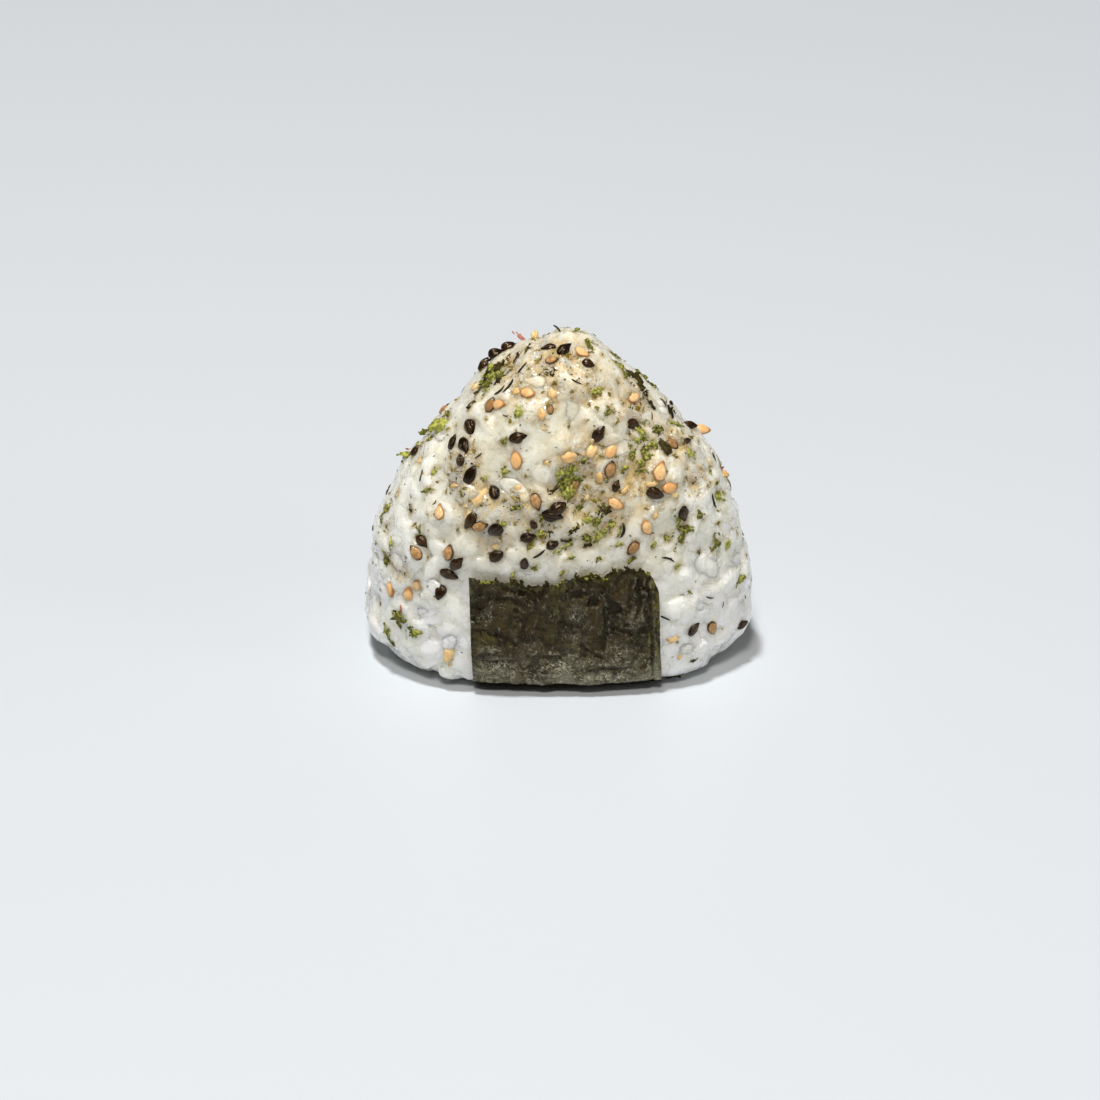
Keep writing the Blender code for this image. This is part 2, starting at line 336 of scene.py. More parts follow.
class Nodes:
    """A short way to write a material's node tree."""

    def __init__(self, name: str) -> None:
        """Starts an empty material with a Principled shader."""
        self.material = bpy.data.materials.new(name)
        self.material.use_nodes = True
        self.tree = self.material.node_tree
        self.shader = self.tree.nodes["Principled BSDF"]
        self.place = self.add("ShaderNodeTexCoord").outputs["Object"]

    def add(self, kind: str, **values: object) -> bpy.types.Node:
        """Adds a node and sets its own properties."""
        node = self.tree.nodes.new(kind)
        for name, value in values.items():
            setattr(node, name, value)
        return node

    def feed(self, node: bpy.types.Node, **values: object) -> bpy.types.Node:
        """Sets or links a node's inputs, named with underscores for spaces."""
        for name, value in values.items():
            socket = node.inputs[name.replace("_", " ")]
            if isinstance(value, bpy.types.NodeSocket):
                self.tree.links.new(value, socket)
            else:
                socket.default_value = value
        return node

    def noise(self, size: float, detail: float = 2.0, stretch: Sequence[float] = (1, 1, 1)) -> bpy.types.NodeSocket:
        """Noise from about 0.3 to 0.7, whose features are about this size in metres."""
        mapping = self.feed(self.add("ShaderNodeMapping"), Vector=self.place, Scale=tuple(stretch))
        node = self.add("ShaderNodeTexNoise")
        self.feed(node, Vector=mapping.outputs["Vector"], Scale=1.0 / size, Detail=detail)
        return node.outputs["Fac"]

    def facets(self, size: float, warp: float,
               stretch: Sequence[float] = (1, 1, 1)) -> tuple[bpy.types.NodeSocket, bpy.types.NodeSocket,
                                                              bpy.types.NodeSocket]:
        """Small flat pieces that lie side by side, each tilted its own way.

        Args:
            size: Usual width of a piece, in metres.
            warp: How far the pieces' borders wander, in metres.
            stretch: Scale of the pattern along each axis, where less than 1 draws the pieces out.

        Returns:
            The height within a piece as a share of its width, 1 on the borders and 0 within, and a random
            number for each piece.
        """
        mapping = self.feed(self.add("ShaderNodeMapping"), Vector=self.warped(1.2 * size, warp), Scale=tuple(stretch))
        place = mapping.outputs["Vector"]
        cell = self.feed(self.add("ShaderNodeTexVoronoi"), Vector=place, Scale=1.0 / size)
        border = self.feed(self.add("ShaderNodeTexVoronoi", feature="DISTANCE_TO_EDGE"), Vector=place, Scale=1.0 / size)
        away = self.add("ShaderNodeVectorMath", operation="SUBTRACT")
        self.tree.links.new(place, away.inputs[0])
        self.tree.links.new(cell.outputs["Position"], away.inputs[1])
        lean = self.add("ShaderNodeVectorMath", operation="SUBTRACT")
        self.tree.links.new(cell.outputs["Color"], lean.inputs[0])
        lean.inputs[1].default_value = (0.5, 0.5, 0.5)
        dot = self.add("ShaderNodeVectorMath", operation="DOT_PRODUCT")
        self.tree.links.new(away.outputs["Vector"], dot.inputs[0])
        self.tree.links.new(lean.outputs["Vector"], dot.inputs[1])
        height = self.maths("DIVIDE", dot.outputs["Value"], size)
        number = self.feed(self.add("ShaderNodeSeparateXYZ"), Vector=cell.outputs["Color"]).outputs["X"]
        return height, self.span(border.outputs["Distance"], 0.10, 0.0), number

    def warped(self, size: float, reach: float) -> bpy.types.NodeSocket:
        """Object coordinates pushed about by noise of this size, by up to this reach, in metres."""
        push = self.feed(self.add("ShaderNodeTexNoise"), Vector=self.place, Scale=1.0 / size, Detail=2.0)
        centred = self.add("ShaderNodeVectorMath", operation="SUBTRACT")
        self.tree.links.new(push.outputs["Color"], centred.inputs[0])
        centred.inputs[1].default_value = (0.5, 0.5, 0.5)
        scaled = self.add("ShaderNodeVectorMath", operation="SCALE")
        self.tree.links.new(centred.outputs["Vector"], scaled.inputs[0])
        scaled.inputs["Scale"].default_value = 2.0 * reach
        total = self.add("ShaderNodeVectorMath", operation="ADD")
        self.tree.links.new(self.place, total.inputs[0])
        self.tree.links.new(scaled.outputs["Vector"], total.inputs[1])
        return total.outputs["Vector"]

    def fibres(self, size: float, width: float, warp: float, stretch: Sequence[float] = (1, 1, 1)) -> bpy.types.NodeSocket:
        """A net of curling fibres: 1 on a fibre, 0 between them.

        Args:
            size: Usual distance between fibres, in metres.
            width: Width of a fibre as a share of the size.
            warp: How far the fibres curl, in metres.
            stretch: Scale of the pattern along each axis, where less than 1 draws the net out.

        Returns:
            The value's socket.
        """
        mapping = self.feed(self.add("ShaderNodeMapping"), Vector=self.warped(1.6 * size, warp), Scale=tuple(stretch))
        node = self.add("ShaderNodeTexVoronoi", feature="DISTANCE_TO_EDGE")
        self.feed(node, Vector=mapping.outputs["Vector"], Scale=1.0 / size)
        return self.span(node.outputs["Distance"], width, 0.0)

    def streaks(self, size: float, width: float, warp: float, stretch: Sequence[float],
                detail: float = 4.0) -> bpy.types.NodeSocket:
        """Thin broken streaks, drawn out along one axis: 1 on a streak, 0 between them.

        Args:
            size: Usual distance between streaks, in metres.
            width: Width of a streak, as a share of the noise's range.
            warp: How far the streaks wander, in metres.
            stretch: Scale of the pattern along each axis, where less than 1 draws the streaks out.
            detail: How finely the streaks are broken up.

        Returns:
            The value's socket.
        """
        mapping = self.feed(self.add("ShaderNodeMapping"), Vector=self.warped(2.0 * size, warp), Scale=tuple(stretch))
        node = self.add("ShaderNodeTexNoise")
        self.feed(node, Vector=mapping.outputs["Vector"], Scale=1.0 / size, Detail=detail)
        offset = self.maths("ABSOLUTE", self.maths("SUBTRACT", node.outputs["Fac"], 0.5), 0.0)
        return self.span(offset, width, 0.0)

    def span(self, value: bpy.types.NodeSocket, low: float, high: float, to_low: float = 0.0,
             to_high: float = 1.0) -> bpy.types.NodeSocket:
        """Maps a value from one range to another, smoothly and clamped."""
        node = self.add("ShaderNodeMapRange", interpolation_type="SMOOTHSTEP")
        self.feed(node, Value=value, From_Min=low, From_Max=high, To_Min=to_low, To_Max=to_high)
        return node.outputs["Result"]

    def maths(self, operation: str, a: object, b: object) -> bpy.types.NodeSocket:
        """One arithmetic step on two values or sockets."""
        node = self.add("ShaderNodeMath", operation=operation)
        for socket, value in zip(node.inputs, (a, b)):
            if isinstance(value, bpy.types.NodeSocket):
                self.tree.links.new(value, socket)
            else:
                socket.default_value = value
        return node.outputs["Value"]

    def mix(self, share: object, a: object, b: object, blend: str = "MIX") -> bpy.types.NodeSocket:
        """Mixes two colours, each a socket or three numbers."""
        node = self.add("ShaderNodeMix", data_type="RGBA", blend_type=blend)
        for socket, value in zip((node.inputs[0], node.inputs[6], node.inputs[7]), (share, a, b)):
            if isinstance(value, bpy.types.NodeSocket):
                self.tree.links.new(value, socket)
            elif isinstance(value, float):
                socket.default_value = value
            else:
                socket.default_value = (*value, 1.0)
        return node.outputs[2]

    def attribute(self, name: str) -> bpy.types.NodeSocket:
        """A number that the mesh carries for each point."""
        return self.add("ShaderNodeAttribute", attribute_name=name).outputs["Fac"]

    def height(self) -> bpy.types.NodeSocket:
        """Height above the floor, in metres."""
        return self.feed(self.add("ShaderNodeSeparateXYZ"), Vector=self.place).outputs["Z"]

    def across(self) -> bpy.types.NodeSocket:
        """Place from left to right, in metres."""
        return self.feed(self.add("ShaderNodeSeparateXYZ"), Vector=self.place).outputs["X"]

    def bump(self, height: bpy.types.NodeSocket, depth: float, strength: float = 1.0) -> None:
        """Gives the shader a bump of this depth in metres, on top of any bump it has."""
        node = self.add("ShaderNodeBump")
        self.feed(node, Height=height, Distance=depth, Strength=strength)
        before = self.shader.inputs["Normal"].links
        if before:
            self.tree.links.new(before[0].from_socket, node.inputs["Normal"])
        self.tree.links.new(node.outputs["Normal"], self.shader.inputs["Normal"])


@dataclass(frozen=True)
class RiceFinish:
    """Steamed rice: milky and moist, some grains clearer than others, sandy where seasoning has melted in."""

    name: str
    scatter: float  # how far light travels inside, in metres
    clear: tuple[float, float, float] = (0.83, 0.83, 0.72)
    milky: tuple[float, float, float] = (0.935, 0.94, 0.865)
    # painted bounce light: the lighter, cooler white of the rice towards the foot
    bounce_lit_white: tuple[float, float, float] = (0.96, 0.975, 0.915)
    cream: tuple[float, float, float] = (0.80, 0.735, 0.545)
    # crease: painted shade, for the creases and the seams between the facets
    crease: tuple[float, float, float] = (0.62, 0.60, 0.48)
    stain: tuple[float, float, float] = (0.75, 0.54, 0.22)
    # soaked: the brown round each piece of furikake, partly juice soaked in and partly painted contact shade
    soaked: tuple[float, float, float] = (0.44, 0.30, 0.07)

    def make(self) -> bpy.types.Material:
        """Builds the material."""
        n = Nodes(self.name)
        lean, border, number = n.facets(2.7 * MM, 1.5 * MM)
        tone = n.maths("ADD", n.maths("MULTIPLY", n.attribute("tone"), 0.4), n.maths("MULTIPLY", number, 0.3))
        tone = n.maths("ADD", tone, n.maths("MULTIPLY", n.noise(4.0 * MM, 3.0), 0.5))
        base = n.mix(n.span(tone, 0.35, 0.85), self.clear, self.milky)
        # Painted bounce light: towards the foot the rice is mixed to a lighter, cooler white.
        low = n.maths("MULTIPLY", n.span(n.height(), 28 * MM, 12 * MM), n.span(n.noise(8 * MM, 3.0), 0.36, 0.58, 0.4, 1.0))
        base = n.mix(low, base, self.bounce_lit_white)
        warm_height = n.span(n.height(), 20 * MM, 40 * MM)
        warm_middle = n.span(n.maths("ABSOLUTE", n.across(), 0.0), 32 * MM, 14 * MM)
        patch = n.span(n.noise(6 * MM, 3.0), 0.40, 0.60, 0.40, 1.0)
        warmth = n.maths("MULTIPLY", n.maths("MULTIPLY", warm_height, warm_middle), patch)
        base = n.mix(n.maths("MULTIPLY", warmth, 0.70), base, self.cream)
        # Painted shade: the rice is mixed towards the crease colour where its relief is lowest and along the seams
        # between the facets.
        base = n.mix(n.span(n.attribute("relief"), 0.40, 0.05, 0.0, 0.40), base, self.crease)
        seams = n.maths("MULTIPLY", border, n.span(n.noise(2.4 * MM, 3.0), 0.42, 0.58))
        seams = n.maths("MULTIPLY", seams, n.span(warmth, 0.0, 0.5, 1.0, 0.2))
        base = n.mix(n.maths("MULTIPLY", seams, 0.22), base, self.crease)
        low_first = n.span(n.attribute("relief"), 0.75, 0.35, 0.50, 1.0)
        melted = n.maths("MULTIPLY", n.attribute("season"), n.span(n.noise(2.4 * MM, 3.0), 0.35, 0.55))
        base = n.mix(n.maths("MULTIPLY", melted, low_first), base, self.stain)
        # Round each piece of furikake the rice is browned: partly juice soaked in, partly painted contact shade.
        soak_and_shade = n.maths("MULTIPLY", n.attribute("soak_and_shade"), n.span(n.noise(1.8 * MM, 3.0), 0.42, 0.60, 0.0, 1.0))
        base = n.mix(soak_and_shade, base, self.soaked)
        shader = n.feed(n.shader, Base_Color=base, Subsurface_Weight=1.0, Subsurface_Scale=self.scatter)
        shader.inputs["Subsurface Radius"].default_value = (1.0, 0.98, 0.88)
        n.feed(shader, Roughness=n.span(n.noise(1.2 * MM, 4.0), 0.38, 0.62, 0.18, 0.40), Specular_IOR_Level=0.42)
        n.feed(shader, Coat_Weight=0.85, Coat_Roughness=0.03)
        n.bump(lean, 1.00 * MM, 1.0)
        n.bump(n.maths("MULTIPLY", seams, -1.0), 0.18 * MM, 1.0)
        n.bump(n.noise(0.42 * MM, 4.0), 0.17 * MM, 1.0)
        n.bump(n.noise(1.3 * MM, 2.0), 0.12 * MM, 0.8)
        return n.material


@dataclass(frozen=True)
class NoriFinish:
    """Toasted laver: brown and blackish with khaki clouds, curling pale fibres, olive edges, painted sheen and painted
    shade.
    """

    name: str = "nori_sheet"
    # painted shade: the darkest colour, laid in the valleys, dents, folds and the undercut foot
    shade_black: tuple[float, float, float] = (0.0055, 0.0038, 0.0018)
    dark: tuple[float, float, float] = (0.005, 0.0030, 0.0008)
    brown: tuple[float, float, float] = (0.038, 0.026, 0.009)
    khaki: tuple[float, float, float] = (0.090, 0.082, 0.034)
    olive: tuple[float, float, float] = (0.100, 0.105, 0.014)
    fibre: tuple[float, float, float] = (0.68, 0.66, 0.48)
    # painted sheen: a pale silver where the floor is mirrored in the glossy foot and where light glances off the sheen
    # patches
    painted_sheen: tuple[float, float, float] = (0.260, 0.252, 0.190)
    sheen: tuple[float, float, float] = (1.0, 0.84, 0.50)

    def make(self) -> bpy.types.Material:
        """Builds the material."""
        n = Nodes(self.name)
        low = n.span(n.height(), 13 * MM, 4 * MM)
        base = n.mix(n.span(n.noise(3.0 * MM, 6.0), 0.42, 0.58), self.dark, self.brown)
        cloud = n.span(n.noise(1.8 * MM, 7.0, (1.0, 1.0, 1.4)), 0.46, 0.66)
        where = n.span(n.noise(7.0 * MM, 4.0), 0.42, 0.62, 0.0, 0.65)
        where = n.maths("ADD", where, n.maths("MULTIPLY", low, 0.40))
        base = n.mix(n.maths("MULTIPLY", cloud, where), base, self.khaki)
        speckle = n.span(n.noise(0.9 * MM, 7.0, (1.3, 1.0, 0.5)), 0.44, 0.60)
        base = n.mix(n.maths("MULTIPLY", n.attribute("olive"), speckle), base, self.olive)
        painted_sheen = n.attribute("painted_sheen")
        # Painted sheen: the lower part of the strip, where the floor is mirrored, and the sheen patches are mixed
        # towards a pale silver.
        foot = n.maths("MAXIMUM", n.span(n.height(), 9.5 * MM, 3.2 * MM, 0.0, 0.8), n.maths("MULTIPLY", painted_sheen, 0.35))
        foot = n.maths("MULTIPLY", foot, n.span(n.noise(2.2 * MM, 7.0), 0.38, 0.62, 0.15, 0.9))
        base = n.mix(foot, base, self.painted_sheen)
        # Painted highlight: the crests of the crinkles are mixed towards the pale silver, most towards the foot.
        crest_highlight = n.maths("MULTIPLY", n.span(n.attribute("ridge"), 0.55, 0.85), n.maths("ADD", n.maths("MULTIPLY", low, 0.55), 0.40))
        base = n.mix(n.maths("MULTIPLY", crest_highlight, n.span(n.noise(0.8 * MM, 4.0), 0.42, 0.56)), base, self.painted_sheen)
        # Painted shade: the valleys between the crinkles are mixed towards the shade colour.
        base = n.mix(n.span(n.attribute("ridge"), 0.46, 0.10, 0.0, 0.75), base, self.shade_black)
        level = n.streaks(1.3 * MM, 0.022, 1.8 * MM, (0.45, 1.0, 1.2), 2.0)
        upright = n.streaks(1.5 * MM, 0.018, 1.8 * MM, (1.1, 1.0, 0.45), 2.0)
        patch = n.span(n.noise(2.2 * MM, 4.0), 0.48, 0.60)
        net = n.maths("MULTIPLY", n.fibres(1.2 * MM, 0.09, 1.3 * MM, (0.9, 1.0, 1.2)), painted_sheen)
        base = n.mix(n.maths("MULTIPLY", net, n.span(n.noise(1.5 * MM, 3.0), 0.42, 0.58, 0.0, 0.75)), base, self.fibre)
        strands = n.maths("MULTIPLY", upright, n.maths("MAXIMUM", n.maths("MULTIPLY", patch, 0.3), painted_sheen))
        base = n.mix(strands, base, self.fibre)
        woven = n.maths("MAXIMUM", painted_sheen, n.maths("MULTIPLY", low, 0.6))
        base = n.mix(n.maths("MULTIPLY", level, woven), base, self.fibre)
        # Painted shade: below about 3 mm the strip turns under the ball and is painted dark as shade, with its specular
        # turned down.
        edge = n.maths("ADD", n.height(), n.maths("MULTIPLY", n.noise(1.6 * MM, 3.0), 0.9 * MM))
        base = n.mix(n.span(edge, 3.3 * MM, 2.9 * MM), base, self.shade_black)
        # Painted shade in the dents and along the folds.
        base = n.mix(n.attribute("dent"), base, self.shade_black)
        shader = n.feed(n.shader, Base_Color=base, Specular_Tint=(*self.sheen, 1.0))
        n.feed(shader, Specular_IOR_Level=n.span(edge, 2.9 * MM, 3.5 * MM, 0.02, 0.36))
        n.feed(shader, Roughness=n.span(n.noise(2.0 * MM, 5.0), 0.42, 0.58, 0.14, 0.52))
        n.bump(n.maths("MAXIMUM", net, n.maths("MAXIMUM", level, upright)), 0.10 * MM, 0.9)
        n.bump(n.noise(0.7 * MM, 4.0), 0.10 * MM, 1.0)
        n.bump(n.noise(2.4 * MM, 4.0, (1.3, 1.0, 0.6)), 1.45 * MM, 1.0)
        return n.material


@dataclass(frozen=True)
class SeedFinish:
    """A seed's hull: a tint that varies from seed to seed, a darker rim and tip, partly painted shade, fine ribs and a
    satin gloss.
    """

    name: str
    light: tuple[float, float, float]
    deep: tuple[float, float, float]
    # edge: the darker colour of the tip and waist, partly the hull's own, partly painted shade
    edge: tuple[float, float, float]
    roughness: float
    scatter: float = 0.0
    edge_share: float = 0.8
    ribs: float = 0.03 * MM

    def make(self) -> bpy.types.Material:
        """Builds the material."""
        n = Nodes(self.name)
        base = n.mix(n.attribute("tint"), self.light, self.deep)
        base = n.mix(n.span(n.noise(0.6 * MM, 4.0), 0.40, 0.60, 0.0, 0.7), base, self.deep)
        # The tip and the waist are darker: partly the hull's own tip and ridge, partly painted shade where the hull
        # turns down.
        tip = n.span(n.attribute("along"), 0.55, 1.0)
        edge = n.maths("MAXIMUM", tip, n.span(n.attribute("rim"), 0.36, 0.66))
        base = n.mix(n.maths("MULTIPLY", edge, self.edge_share), base, self.edge)
        shader = n.feed(n.shader, Base_Color=base, Roughness=self.roughness, Specular_IOR_Level=0.36)
        n.feed(shader, Specular_Tint=(1.0, 0.72, 0.46, 1.0))
        if self.scatter:
            n.feed(shader, Subsurface_Weight=0.7, Subsurface_Scale=self.scatter)
            shader.inputs["Subsurface Radius"].default_value = (1.0, 0.8, 0.55)
        n.feed(shader, Coat_Weight=0.20, Coat_Roughness=0.06)
        ribs = n.maths("SINE", n.maths("MULTIPLY", n.attribute("aside"), 11.0), 0.0)
        n.bump(ribs, self.ribs, 0.8)
        n.bump(n.noise(0.35 * MM, 3.0), 0.08 * MM, 0.8)
        return n.material


@dataclass(frozen=True)
class FlakeFinish:
    """Dried leaf: matte, mottled from a light to a deep tone, and thin enough to let some light through."""

    name: str
    light: tuple[float, float, float]
    deep: tuple[float, float, float]
    roughness: float = 0.6
    scatter: float = 0.4 * MM

    def make(self) -> bpy.types.Material:
        """Builds the material."""
        n = Nodes(self.name)
        mottle = n.span(n.noise(0.5 * MM, 5.0), 0.38, 0.58)
        share = n.maths("ADD", n.maths("MULTIPLY", n.attribute("tint"), 0.75), n.maths("MULTIPLY", mottle, 0.80))
        share = n.maths("SUBTRACT", share, 0.15)
        base = n.mix(share, self.light, self.deep)
        n.feed(n.shader, Base_Color=base, Roughness=self.roughness, Specular_IOR_Level=0.22)
        n.feed(n.shader, Specular_Tint=(1.0, 0.92, 0.66, 1.0))
        n.feed(n.shader, Subsurface_Weight=0.35, Subsurface_Scale=self.scatter)
        n.shader.inputs["Subsurface Radius"].default_value = (0.8, 1.0, 0.4)
        n.bump(n.noise(0.5 * MM, 4.0), 0.20 * MM, 1.0)
        return n.material


@dataclass(frozen=True)
class GranuleFinish:
    """Grains of salt and sugar: pale, half clear and glistening."""

    name: str = "seasoning"

    def make(self) -> bpy.types.Material:
        """Builds the material."""
        n = Nodes(self.name)
        base = n.mix(n.attribute("tint"), (0.95, 0.94, 0.86), (0.88, 0.76, 0.48))
        n.feed(n.shader, Base_Color=base, Roughness=0.12, Subsurface_Weight=0.9, Subsurface_Scale=0.5 * MM)
        n.shader.inputs["Subsurface Radius"].default_value = (1.0, 0.9, 0.7)
        n.feed(n.shader, Coat_Weight=0.5, Coat_Roughness=0.05)
        n.bump(n.noise(0.3 * MM, 2.0), 0.04 * MM, 0.5)
        return n.material


@dataclass(frozen=True)
class FloorFinish:
    """A plain pale floor with a faint soft gloss."""

    name: str = "pale_floor"
    colour: tuple[float, float, float] = (0.630, 0.668, 0.715)

    def make(self) -> bpy.types.Material:
        """Builds the material."""
        n = Nodes(self.name)
        base = n.mix(n.span(n.noise(0.5, 1.0), 0.3, 0.7, 0.0, 0.04), self.colour, (0.597, 0.640, 0.692))
        n.feed(n.shader, Base_Color=base, Roughness=0.45, Specular_IOR_Level=0.3)
        return n.material


# ---------------------------------------------------------------------------------------------------------
# Small shapes


@dataclass
class TemplateMaker:
    """Models the small shapes once, each long along X and lying flat."""

    seed: int = 7

    def __post_init__(self) -> None:
        """Starts the shapes' own random draws."""
        self.draw = random.Random(self.seed)

    def ball(self, segments: int, rings: int, size: Vector) -> bpy.types.Object:
        """A UV sphere of this full size, its poles turned to the ends of X."""
        deselect_all()
        bpy.ops.mesh.primitive_uv_sphere_add(segments=segments, ring_count=rings, radius=0.5)
        item = bpy.context.active_object
        bpy.ops.object.mode_set(mode="EDIT")
        bpy.ops.mesh.select_all(action="SELECT")
        bpy.ops.transform.rotate(value=math.pi / 2, orient_axis="Y", center_override=(0, 0, 0))
        bpy.ops.transform.resize(value=tuple(size), center_override=(0, 0, 0))
        bpy.ops.object.mode_set(mode="OBJECT")
        return item

    def shape_rings(self, item: bpy.types.Object, width: Callable[[float], float],
                    sway: Callable[[float], float]) -> None:
        """Resizes and shifts each ring of a ball by its place along X, from -1 to 1.

        Args:
            item: A ball whose poles lie on X.
            width: Share of the ring's width to keep.
            sway: How far the ring moves along Y, in metres.
        """
        rings = rings_along_x(item)
        reach = max(rings)
        bpy.ops.object.mode_set(mode="EDIT")
        for ring in rings:
            share = ring / reach
            select_points(item, lambda place: abs(place.x - ring) < 1e-5)
            kept = width(share)
            bpy.ops.transform.resize(value=(1.0, kept, kept), center_override=(ring, 0, 0))
            bpy.ops.transform.translate(value=(0.0, sway(share), 0.0))
        bpy.ops.object.mode_set(mode="OBJECT")

    def grain(self, bend: float, blunt: float, rough: float, segments: int = 10, rings: int = 9) -> Template:
        """A cooked short grain, slightly bent, fuller at one end and a little uneven.

        Args:
            bend: How far the ends are bent aside, in metres.
            blunt: How much fuller one end is, as a share.
            rough: How uneven the grain is, as a share.
            segments: Faces round the grain.
            rings: Faces along the grain.

        Returns:
            The grain's shape.
        """
        size = Vector((7.2, 3.9, 3.0)) * MM
        item = self.ball(segments, rings, size)
        self.shape_rings(item, lambda s: 1.0 + blunt * s, lambda s: bend * (s * s - 0.4))
        offset = Vector([self.draw.uniform(-9.0, 9.0) for _ in range(3)])
        for vertex in item.data.vertices:
            vertex.co *= 1.0 + rough * noise.noise(vertex.co / (2.2 * MM) + offset)
        return read_template(item)

    def sesame(self, plump: float) -> Template:
        """A sesame seed: a flat drop, round at one end and pointed at the other, and a little dented."""
        size = Vector((3.45, 2.3, 1.15)) * MM
        item = self.ball(14, 10, size)
        self.shape_rings(item, lambda s: plump - 0.24 * smooth_step(s, -0.45, 1.0) * (1.0 + s), lambda s: 0.0)
        offset = Vector([self.draw.uniform(-9.0, 9.0) for _ in range(3)])
        for vertex in item.data.vertices:
            vertex.co *= 1.0 + 0.16 * noise.noise(vertex.co / (1.1 * MM) + offset)
            vertex.co.z += 0.08 * MM * math.cos(vertex.co.x / (1.1 * MM)) * (1 if vertex.co.z > 0 else -1)
        return read_template(item)

    def lump(self, size: Vector, rough: float, subdivisions: int = 2) -> Template:
        """An irregular crumb with broken faces."""
        deselect_all()
        bpy.ops.mesh.primitive_ico_sphere_add(subdivisions=subdivisions, radius=0.5)
        item = bpy.context.active_object
        offset = Vector([self.draw.uniform(-9.0, 9.0) for _ in range(3)])
        for vertex in item.data.vertices:
            vertex.co *= 1.0 + rough * noise.noise(vertex.co * 3.0 + offset)
        bpy.ops.object.mode_set(mode="EDIT")
        bpy.ops.mesh.select_all(action="SELECT")
        bpy.ops.transform.resize(value=tuple(size), center_override=(0, 0, 0))
        bpy.ops.object.mode_set(mode="OBJECT")
        return read_template(item)

    def flake(self, length: float, narrow: float, thickness: float, lace: float = 1.5) -> Template:
        """A torn scrap of leaf: a sheet with ragged edges and holes, crumpled, and closed by its thickness.

        Args:
            length: Length of the scrap, in metres.
            narrow: Width as a share of the length.
            thickness: Thickness of the leaf, in metres.
            lace: How much of the scrap is torn away.

        Returns:
            The scrap's shape.
        """
        deselect_all()
        bpy.ops.mesh.primitive_grid_add(x_subdivisions=6, y_subdivisions=4, size=1.0)
        item = bpy.context.active_object
        offset = Vector([self.draw.uniform(-9.0, 9.0) for _ in range(3)])
        bpy.ops.object.mode_set(mode="EDIT")
        bpy.ops.mesh.select_mode(type="FACE")
        shape = bmesh.from_edit_mesh(item.data)
        for face in shape.faces:
            middle = face.calc_center_median()
            out = (2.0 * middle).length
            torn = noise.noise(middle * 3.1 + offset)
            face.select_set(out + lace * torn > 0.85)
        bmesh.update_edit_mesh(item.data)
        if any(face.select for face in shape.faces) and not all(face.select for face in shape.faces):
            bpy.ops.mesh.delete(type="FACE")
        bpy.ops.object.mode_set(mode="OBJECT")
        for vertex in item.data.vertices:
            place = vertex.co.copy()
            place += 0.10 * noise.noise_vector(place * 5.0 - offset)
            wave = noise.noise(place * 2.6 + offset) + 0.5 * noise.noise(place * 6.0 - offset)
            vertex.co = Vector((place.x, place.y * narrow, 0.0)) * length
            vertex.co.z = 0.16 * length * wave
        apply_modifier(item, "SOLIDIFY", thickness=thickness, offset=0.0)
        return read_template(item)

    def thread(self, length: float, width: float, curl: float) -> Template:
        """A thin curved shred: a narrow ring extruded in steps that turn a little, thin at both ends."""
        deselect_all()
        steps = 6
        bpy.ops.mesh.primitive_circle_add(vertices=5, radius=0.25 * width, fill_type="NGON", rotation=(0, math.pi / 2, 0),
                                          location=(-0.5 * length, 0, 0))
        item = bpy.context.active_object
        bpy.ops.object.transform_apply(location=True, rotation=True, scale=True)
        bpy.ops.object.mode_set(mode="EDIT")
        bpy.ops.mesh.select_all(action="SELECT")
        heading = -0.5 * curl
        middle = Vector((-0.5 * length, 0.0, 0.0))
        for step in range(steps):
            heading += curl / steps
            stride = Vector((math.cos(heading), math.sin(heading), 0.0)) * (length / steps)
            bpy.ops.mesh.extrude_region_move(TRANSFORM_OT_translate={"value": tuple(stride)})
            middle += stride
            swell = (1.9, 1.1, 1.0, 1.0, 0.85, 0.45)[step]
            bpy.ops.transform.resize(value=(1.0, swell, swell), center_override=tuple(middle))
        bpy.ops.mesh.select_all(action="SELECT")
        bpy.ops.mesh.normals_make_consistent(inside=False)
        bpy.ops.object.mode_set(mode="OBJECT")
        return read_template(item)


# ---------------------------------------------------------------------------------------------------------
# The rice


